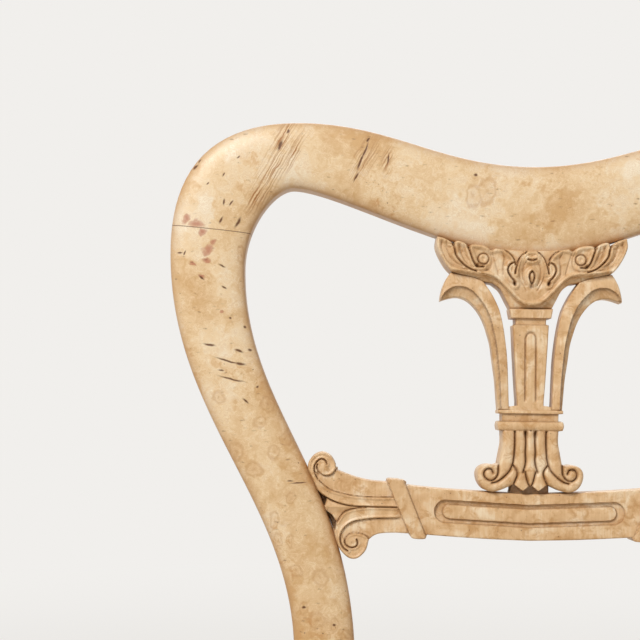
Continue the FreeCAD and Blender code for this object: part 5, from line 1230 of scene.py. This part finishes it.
def foot_surface(points, edge):
    x, z = points.T
    lines = cuts(FOOT_CUTS, points)
    near = np.minimum(lines, edge)
    leaf = -1.9 + 2.9 * rounded(near, 3.0) + 1.2 * rise(-z, -232, -214)
    collar = 1.9 * np.sqrt(np.clip(1 - ((z - 251.4) / 3.1) ** 2, 0, 1)) - 0.4
    band = rise(z, 248.0, 248.6) * (1 - rise(z, 254.0, 254.6))
    level = np.where(z < 248.3, leaf, -2.2)
    level = level * (1 - band) + collar * band
    level = np.where(z > 254.3, -2.0 + 1.8 * rise(z, 258.9, 259.5), level)
    level = level + np.where(z < 248.3, v_cut(lines, 1.2, 0.5), 0)
    # Cut back behind the pendants, down on to the cross rail
    behind = is_inside(np.array([(10.6, 214.4), (4.8, 210.2), (1.6, 213), (0, 213), (0, 208), (13, 208)]),
                       points)
    level = np.where(behind, -6.0, level + eased(edge, 0.7))
    wax = np.where(z < 248.3, 0.85 * waxed(lines, 0.5), 0)
    for height in (248.3, 254.4, 259.0):
        wax = np.maximum(wax, 0.65 * waxed(np.abs(z - height), 0.5))
    wedge = np.exp(-np.hypot((x - 2.9) / 1.2, (z - 246.4) / 2.2) ** 2)
    # Painted shadow on the cut-back behind the pendants
    wax = np.where(behind, 0.45, np.maximum(wax, wedge))
    return level - 1.5 * wedge, np.clip(wax, 0, 1)


class LYRE_OT_foot(bpy.types.Operator):
    """Leafy foot of the lyre with plate, collar and scrolls"""
    bl_idname = "lyre_chair.foot"
    bl_label = "Lyre Foot"

    def execute(self, context):
        carved("leafy_foot", FOOT_OUTLINE, foot_surface, 20.0, finish_of("carved_wood"), ["lyre_foot"])
        return {"FINISHED"}


class LYRE_OT_under_frame(bpy.types.Operator):
    """Seat rails, front legs, blocks, dowels and screws"""
    bl_idname = "lyre_chair.under_frame"
    bl_label = "Seat Rails and Legs"

    def execute(self, context):
        slots = {
            "burr_wood": ["front_seat_rail", "rear_seat_rail", "left_seat_rail", "right_seat_rail",
                          "left_front_leg", "right_front_leg"],
            "beech": ["front_left_block", "front_right_block", "rear_left_block", "rear_right_block",
                      "crest_dowels", "cross_rail_dowels", "lyre_dowels", "horn_pins"],
            "screw_steel": ["corner_block_screws"],
        }
        dress_all(slots)
        return {"FINISHED"}


class LYRE_OT_seat_inside(bpy.types.Operator):
    """Seat frame, webbing, hessian, stuffing and tacks"""
    bl_idname = "lyre_chair.seat_inside"
    bl_label = "Seat Frame and Webbing"

    def execute(self, context):
        slots = {
            "beech": ["seat_frame_front", "seat_frame_rear", "seat_frame_left", "seat_frame_right"],
            "jute_webbing": ["webbing_lengthwise", "webbing_crosswise"],
            "tack_steel": ["webbing_tacks", "cover_tacks"],
            "hessian": ["hessian"],
            "hair_stuffing": ["stuffing"],
        }
        dress_all(slots)
        return {"FINISHED"}


# How far the filled cover stands off the thin one of the CAD, and its extra crown in the middle
PADDING = 2.2 * MM
CROWN = 4.0 * MM
# Share of the crown that the flat limit adds to the padding, and of the sideways motion kept
CROWN_LIMIT = 1.3
SIDEWAYS = 0.2
SIDE_HEIGHT = 25.0 * MM
# The plan's corner radius, and how far in from the edge the padding is full
PLAN_CORNER = 0.003
PADDING_REACH = 0.004
# Rings down the side, and shares of the way to the middle that the cover turns under
SIDE_RINGS = 5
TURNED_UNDER = (0.06, 0.12)
UNEVENNESS = 0.0004
LINEN_THICKNESS = 0.001


def closer_at_ends(share):
    """From -1 to 1 as the share goes from 0 to 1, in finer steps near both ends."""
    even = 2 * share - 1
    return 0.3 * even + 0.7 * math.sin(even * math.pi / 2)


class LYRE_OT_cushion(bpy.types.Operator):
    """Linen cover of the seat, a little over the CAD's own and swelled by a cloth simulation"""
    bl_idname = "lyre_chair.cushion"
    bl_label = "Seat Cushion"

    def execute(self, context):
        seat = wishes()[2]
        low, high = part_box("seat_cover")
        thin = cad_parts["seat_cover"].data
        solid = np.array([v.co for v in thin.vertices])
        front_half = np.abs(solid[solid[:, 1] < low.y + 0.001, 0]).max()
        rear_half = np.abs(solid[solid[:, 1] > high.y - 0.001, 0]).max()
        cell = seat.cell * MM
        across = int(2 * front_half / cell)
        along_seat = int((high.y - low.y) / cell)
        side_top = low.z + SIDE_HEIGHT
        cover = BVHTree.FromPolygons([v.co for v in thin.vertices],
                                     [tuple(p.vertices) for p in thin.polygons])
        places = []
        # Plan corners are rounded, as the cover is pulled over the frame's eased corners
        for j in range(along_seat + 1):
            for i in range(across + 1):
                u, v = closer_at_ends(i / across), (1 + closer_at_ends(j / along_seat)) / 2
                half = front_half + (rear_half - front_half) * v
                to_side, to_end = (1 - abs(u)) * half, min(v, 1 - v) * (high.y - low.y)
                inward = np.array([max(0.0, PLAN_CORNER - to_side), max(0.0, PLAN_CORNER - to_end)])
                excess = max(0.0, float(np.hypot(*inward)) - PLAN_CORNER)
                pull = inward / max(float(np.hypot(*inward)), 1e-9) * excess
                x = u * half - math.copysign(pull[0], u)
                y = low.y + v * (high.y - low.y) + (pull[1] if v < 0.5 else -pull[1])
                struck = cover.ray_cast((x, y, high.z + 0.1), (0, 0, -1))[0]
                z = side_top if struck is None else max(side_top, struck.z)
                z += PADDING * min(1.0, min(to_side, to_end) / PADDING_REACH)
                z += CROWN * (1 - u * u) * (1 - (2 * v - 1) ** 2)
                places.append((x, y, z))
        row = across + 1
        faces = [(j * row + i, j * row + i + 1, (j + 1) * row + i + 1, (j + 1) * row + i)
                 for j in range(along_seat) for i in range(across)]
        rim = ([i for i in range(row)] + [j * row + across for j in range(1, along_seat + 1)]
               + [along_seat * row + i for i in range(across - 1, -1, -1)]
               + [j * row for j in range(along_seat - 1, 0, -1)])
        rings = [rim]
        for level in range(1, SIDE_RINGS + 1):
            ring = []
            for k in rim:
                x, y, z = places[k]
                ring.append(len(places))
                places.append((x, y, side_top + (low.z - side_top) * level / SIDE_RINGS))
            rings.append(ring)
        middle = ((low.x + high.x) / 2, (low.y + high.y) / 2)
        for share in TURNED_UNDER:
            ring = []
            for k in rings[SIDE_RINGS]:
                x, y, z = places[k]
                ring.append(len(places))
                places.append((x + (middle[0] - x) * share, y + (middle[1] - y) * share, low.z))
            rings.append(ring)
        for above, under in zip(rings, rings[1:]):
            for k in range(len(rim)):
                n = (k + 1) % len(rim)
                faces.append((above[n], above[k], under[k], under[n]))
        faces.append(tuple(rings[-1]))
        mesh = bpy.data.meshes.new("linen_seat")
        mesh.from_pydata(places, [], faces)
        mesh.update()
        cushion = bpy.data.objects.new("linen_seat", mesh)
        context.scene.collection.objects.link(cushion)
        start = np.array(places)
        held = cushion.vertex_groups.new(name="held")
        for k, place in enumerate(places):
            held.add([k], 1.0 - float(rise(np.array(place[2]), side_top - 0.006, side_top + 0.004)),
                     "REPLACE")
        cloth = cushion.modifiers.new("cloth", "CLOTH")
        cloth.settings.use_pressure = True
        cloth.settings.uniform_pressure_force = seat.pressure
        cloth.settings.vertex_group_mass = "held"
        cloth.settings.effector_weights.gravity = 0.0
        cloth.point_cache.frame_end = seat.frames
        for number in range(1, seat.frames + 1):
            context.scene.frame_set(number)
        settled = cushion.evaluated_get(context.evaluated_depsgraph_get())
        blown = np.array([v.co for v in settled.data.vertices])
        cushion.modifiers.remove(cloth)
        context.scene.frame_set(1)
        # The motion is held in: a fifth of it sideways, and none beyond the largest swell
        move = (blown - start) * (SIDEWAYS, SIDEWAYS, 1.0)
        length = np.linalg.norm(move, axis=1, keepdims=True)
        move = move * np.minimum(1.0, seat.swell * MM / np.maximum(length, 1e-9))
        start = start + move
        # Soft unevenness of the stuffing under the hand
        for place in start:
            if place[2] > side_top:
                wave = math.sin(place[0] * 31 + 1.3) * math.cos(place[1] * 27)
                wave += 0.6 * math.sin(place[1] * 53 + place[0] * 17)
                place[2] += UNEVENNESS * wave
        # No point sinks below its start, which keeps the stuffing covered, or passes a flat limit
        over = np.array(places)[:, 2] > side_top
        start[over, 2] = np.maximum(start[over, 2], np.array(places)[over, 2])
        start[:, 2] = np.minimum(start[:, 2], high.z + PADDING + CROWN_LIMIT * CROWN)
        start[:, 0] = np.clip(start[:, 0], low.x, high.x)
        start[:, 1] = np.clip(start[:, 1], low.y, high.y)
        mesh.vertices.foreach_set("co", start.astype(np.float32).ravel())
        # The cover is open under the seat, inside the margin tacked to the frame
        shape = bmesh.new()
        shape.from_mesh(mesh)
        bmesh.ops.delete(shape, geom=[f for f in shape.faces if len(f.verts) > 4], context="FACES")
        shape.to_mesh(mesh)
        shape.free()
        mesh.shade_smooth()
        mesh.materials.append(finish_of("linen_cover"))
        finer = cushion.modifiers.new("finer", "SUBSURF")
        finer.levels = finer.render_levels = 1
        finer.boundary_smooth = "PRESERVE_CORNERS"
        skin = cushion.modifiers.new("cloth_thickness", "SOLIDIFY")
        skin.thickness = LINEN_THICKNESS
        skin.offset = -1.0
        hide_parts("seat_cover")
        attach(cushion, BODY_SEAT)
        return {"FINISHED"}


def seen_rays(tree):
    """1 for the rays of the eye and of reflections, 0 for those that light the scene."""
    path = add_node(tree, "LightPath").outputs
    return add_node(tree, "Math", {"operation": "MAXIMUM"},
                    {0: path["Is Camera Ray"], 1: path["Is Glossy Ray"]}).outputs[0]


FLOOR_REACH = 40.0
# Each light's name, place, size in metres and power in watts, and the point they all face
LIGHTS = (("window_light", (-1.3, -1.5, 2.7), 1.0, 66.0),
          ("room_light", (1.9, -1.5, 1.5), 2.0, 9.0),
          ("rear_light", (0.4, 2.4, 2.2), 2.0, 26.0))
LIGHT_COLOUR = (1.0, 0.985, 0.96)
LIGHTS_FACE = (-0.1, 0.15, 0.6)
# Lens and sensor in mm, the point looked at and its distance in metres, and two angles in degrees
LENS, SENSOR = 97.0, 36.0
LOOKED_AT, LOOK_DISTANCE = (-0.1349, 0.20648, 0.7432), 1.1
LOOK_DOWN, LOOK_ROLL = 5.7, 0.8


class LYRE_OT_stage(bpy.types.Operator):
    """Floor, soft light and the camera"""
    bl_idname = "lyre_chair.stage"
    bl_label = "Stage"

    def execute(self, context):
        scene = context.scene
        colours = wishes()[3]
        floor = bpy.data.meshes.new("floor")
        corners = [(-1, -1), (1, -1), (1, 1), (-1, 1)]
        floor.from_pydata([(FLOOR_REACH * x, FLOOR_REACH * y, 0) for x, y in corners], [], [(0, 1, 2, 3)])
        material = bpy.data.materials.new("matt_floor_paint")
        material.use_nodes = True
        tree = material.node_tree
        shader = tree.nodes["Principled BSDF"]
        shader.inputs["Roughness"].default_value = 0.9
        grit = add_node(tree, "TexNoise", inputs={"Scale": 3.0, "Detail": 4.0}).outputs["Fac"]
        shade = add_node(tree, "ValToRGB", inputs={"Fac": grit},
                         stops=[(0.3, "#E6E3DE"), (0.7, colours.floor)]).outputs["Color"]
        tree.links.new(shade, shader.inputs["Base Color"])
        # Away from the chair the floor runs into the pale backdrop, for the eye and for reflections
        place = add_node(tree, "TexCoord").outputs["Object"]
        far = add_node(tree, "VectorMath", {"operation": "LENGTH"}, {0: place}).outputs["Value"]
        fade = add_node(tree, "MapRange", {"interpolation_type": "SMOOTHSTEP"},
                        {"Value": far, "From Min": 0.6, "From Max": 2.6}).outputs[0]
        fade = add_node(tree, "Math", {"operation": "MULTIPLY"}, {0: fade, 1: seen_rays(tree)}).outputs[0]
        pale = add_node(tree, "Emission", inputs={"Color": linear(BACKDROP), "Strength": 1.0}).outputs[0]
        mixed = add_node(tree, "MixShader", inputs={0: fade, 1: shader.outputs[0], 2: pale}).outputs[0]
        tree.links.new(mixed, tree.nodes["Material Output"].inputs["Surface"])
        floor.materials.append(material)
        floor = bpy.data.objects.new("floor", floor)
        scene.collection.objects.link(floor)
        world = bpy.data.worlds.new("soft_room")
        scene.world = world
        world.use_nodes = True
        tree = world.node_tree
        output = tree.nodes["World Output"]
        seen = add_node(tree, "Background", inputs={"Color": linear(BACKDROP), "Strength": 1.0}).outputs[0]
        lit = add_node(tree, "Background", inputs={"Color": linear("#F3F1EE"), "Strength": 0.3}).outputs[0]
        mixed = add_node(tree, "MixShader", inputs={0: seen_rays(tree), 1: lit, 2: seen}).outputs[0]
        tree.links.new(mixed, output.inputs["Surface"])
        aim = Vector(LIGHTS_FACE)
        for name, place, size, power in LIGHTS:
            lamp = bpy.data.lights.new(name, "AREA")
            lamp.shape = "DISK"
            lamp.size = size
            lamp.energy = power
            lamp.color = LIGHT_COLOUR
            holder = bpy.data.objects.new(name, lamp)
            holder.location = place
            holder.rotation_euler = (aim - Vector(place)).to_track_quat("-Z", "Y").to_euler()
            scene.collection.objects.link(holder)
        camera = bpy.data.cameras.new("camera")
        camera.lens = LENS
        camera.sensor_width = SENSOR
        camera.clip_start, camera.clip_end = 0.05, 100.0
        holder = bpy.data.objects.new("camera", camera)
        down, roll = math.radians(LOOK_DOWN), math.radians(LOOK_ROLL)
        target = Vector(LOOKED_AT)
        sight = Vector((0, math.cos(down), -math.sin(down)))
        turn = Matrix.Rotation(math.pi / 2 - down, 4, "X") @ Matrix.Rotation(roll, 4, "Z")
        holder.matrix_world = Matrix.Translation(target - sight * LOOK_DISTANCE) @ turn
        scene.collection.objects.link(holder)
        scene.camera = holder
        scene.view_settings.view_transform = "Standard"
        return {"FINISHED"}


class LYRE_PT_panel(bpy.types.Panel):
    """Lists the pieces of the chair"""
    bl_label = "Lyre Back Chair"
    bl_idname = "LYRE_PT_panel"
    bl_space_type = "VIEW_3D"
    bl_region_type = "UI"
    bl_category = "Lyre Chair"

    def draw(self, context):
        for group in wishes():
            box = self.layout.box()
            for name in group.bl_rna.properties.keys():
                if name not in ("rna_type", "name"):
                    box.prop(group, name)
        for operator in PIECES:
            self.layout.operator(operator.bl_idname)


GROUPS = {"lyre_back": BackSizes, "lyre_carving": CarvingSizes, "lyre_seat": SeatSizes,
          "lyre_colours": WoodColours}
PIECES = (LYRE_OT_crest, LYRE_OT_uprights, LYRE_OT_cross_rail, LYRE_OT_palmette, LYRE_OT_horns,
          LYRE_OT_column, LYRE_OT_foot, LYRE_OT_under_frame, LYRE_OT_seat_inside,
          LYRE_OT_cushion, LYRE_OT_stage)


def register():
    for kind in (*GROUPS.values(), *PIECES, LYRE_PT_panel):
        bpy.utils.register_class(kind)
    for name, kind in GROUPS.items():
        setattr(bpy.types.Scene, name, PointerProperty(type=kind))


def unregister():
    for name in GROUPS:
        delattr(bpy.types.Scene, name)
    for kind in (LYRE_PT_panel, *PIECES[::-1], *list(GROUPS.values())[::-1]):
        bpy.utils.unregister_class(kind)


def main():
    register()
    for operator in PIECES:
        group, word = operator.bl_idname.split(".")
        getattr(getattr(bpy.ops, group), word)()


if __name__ == "__main__":
    main()
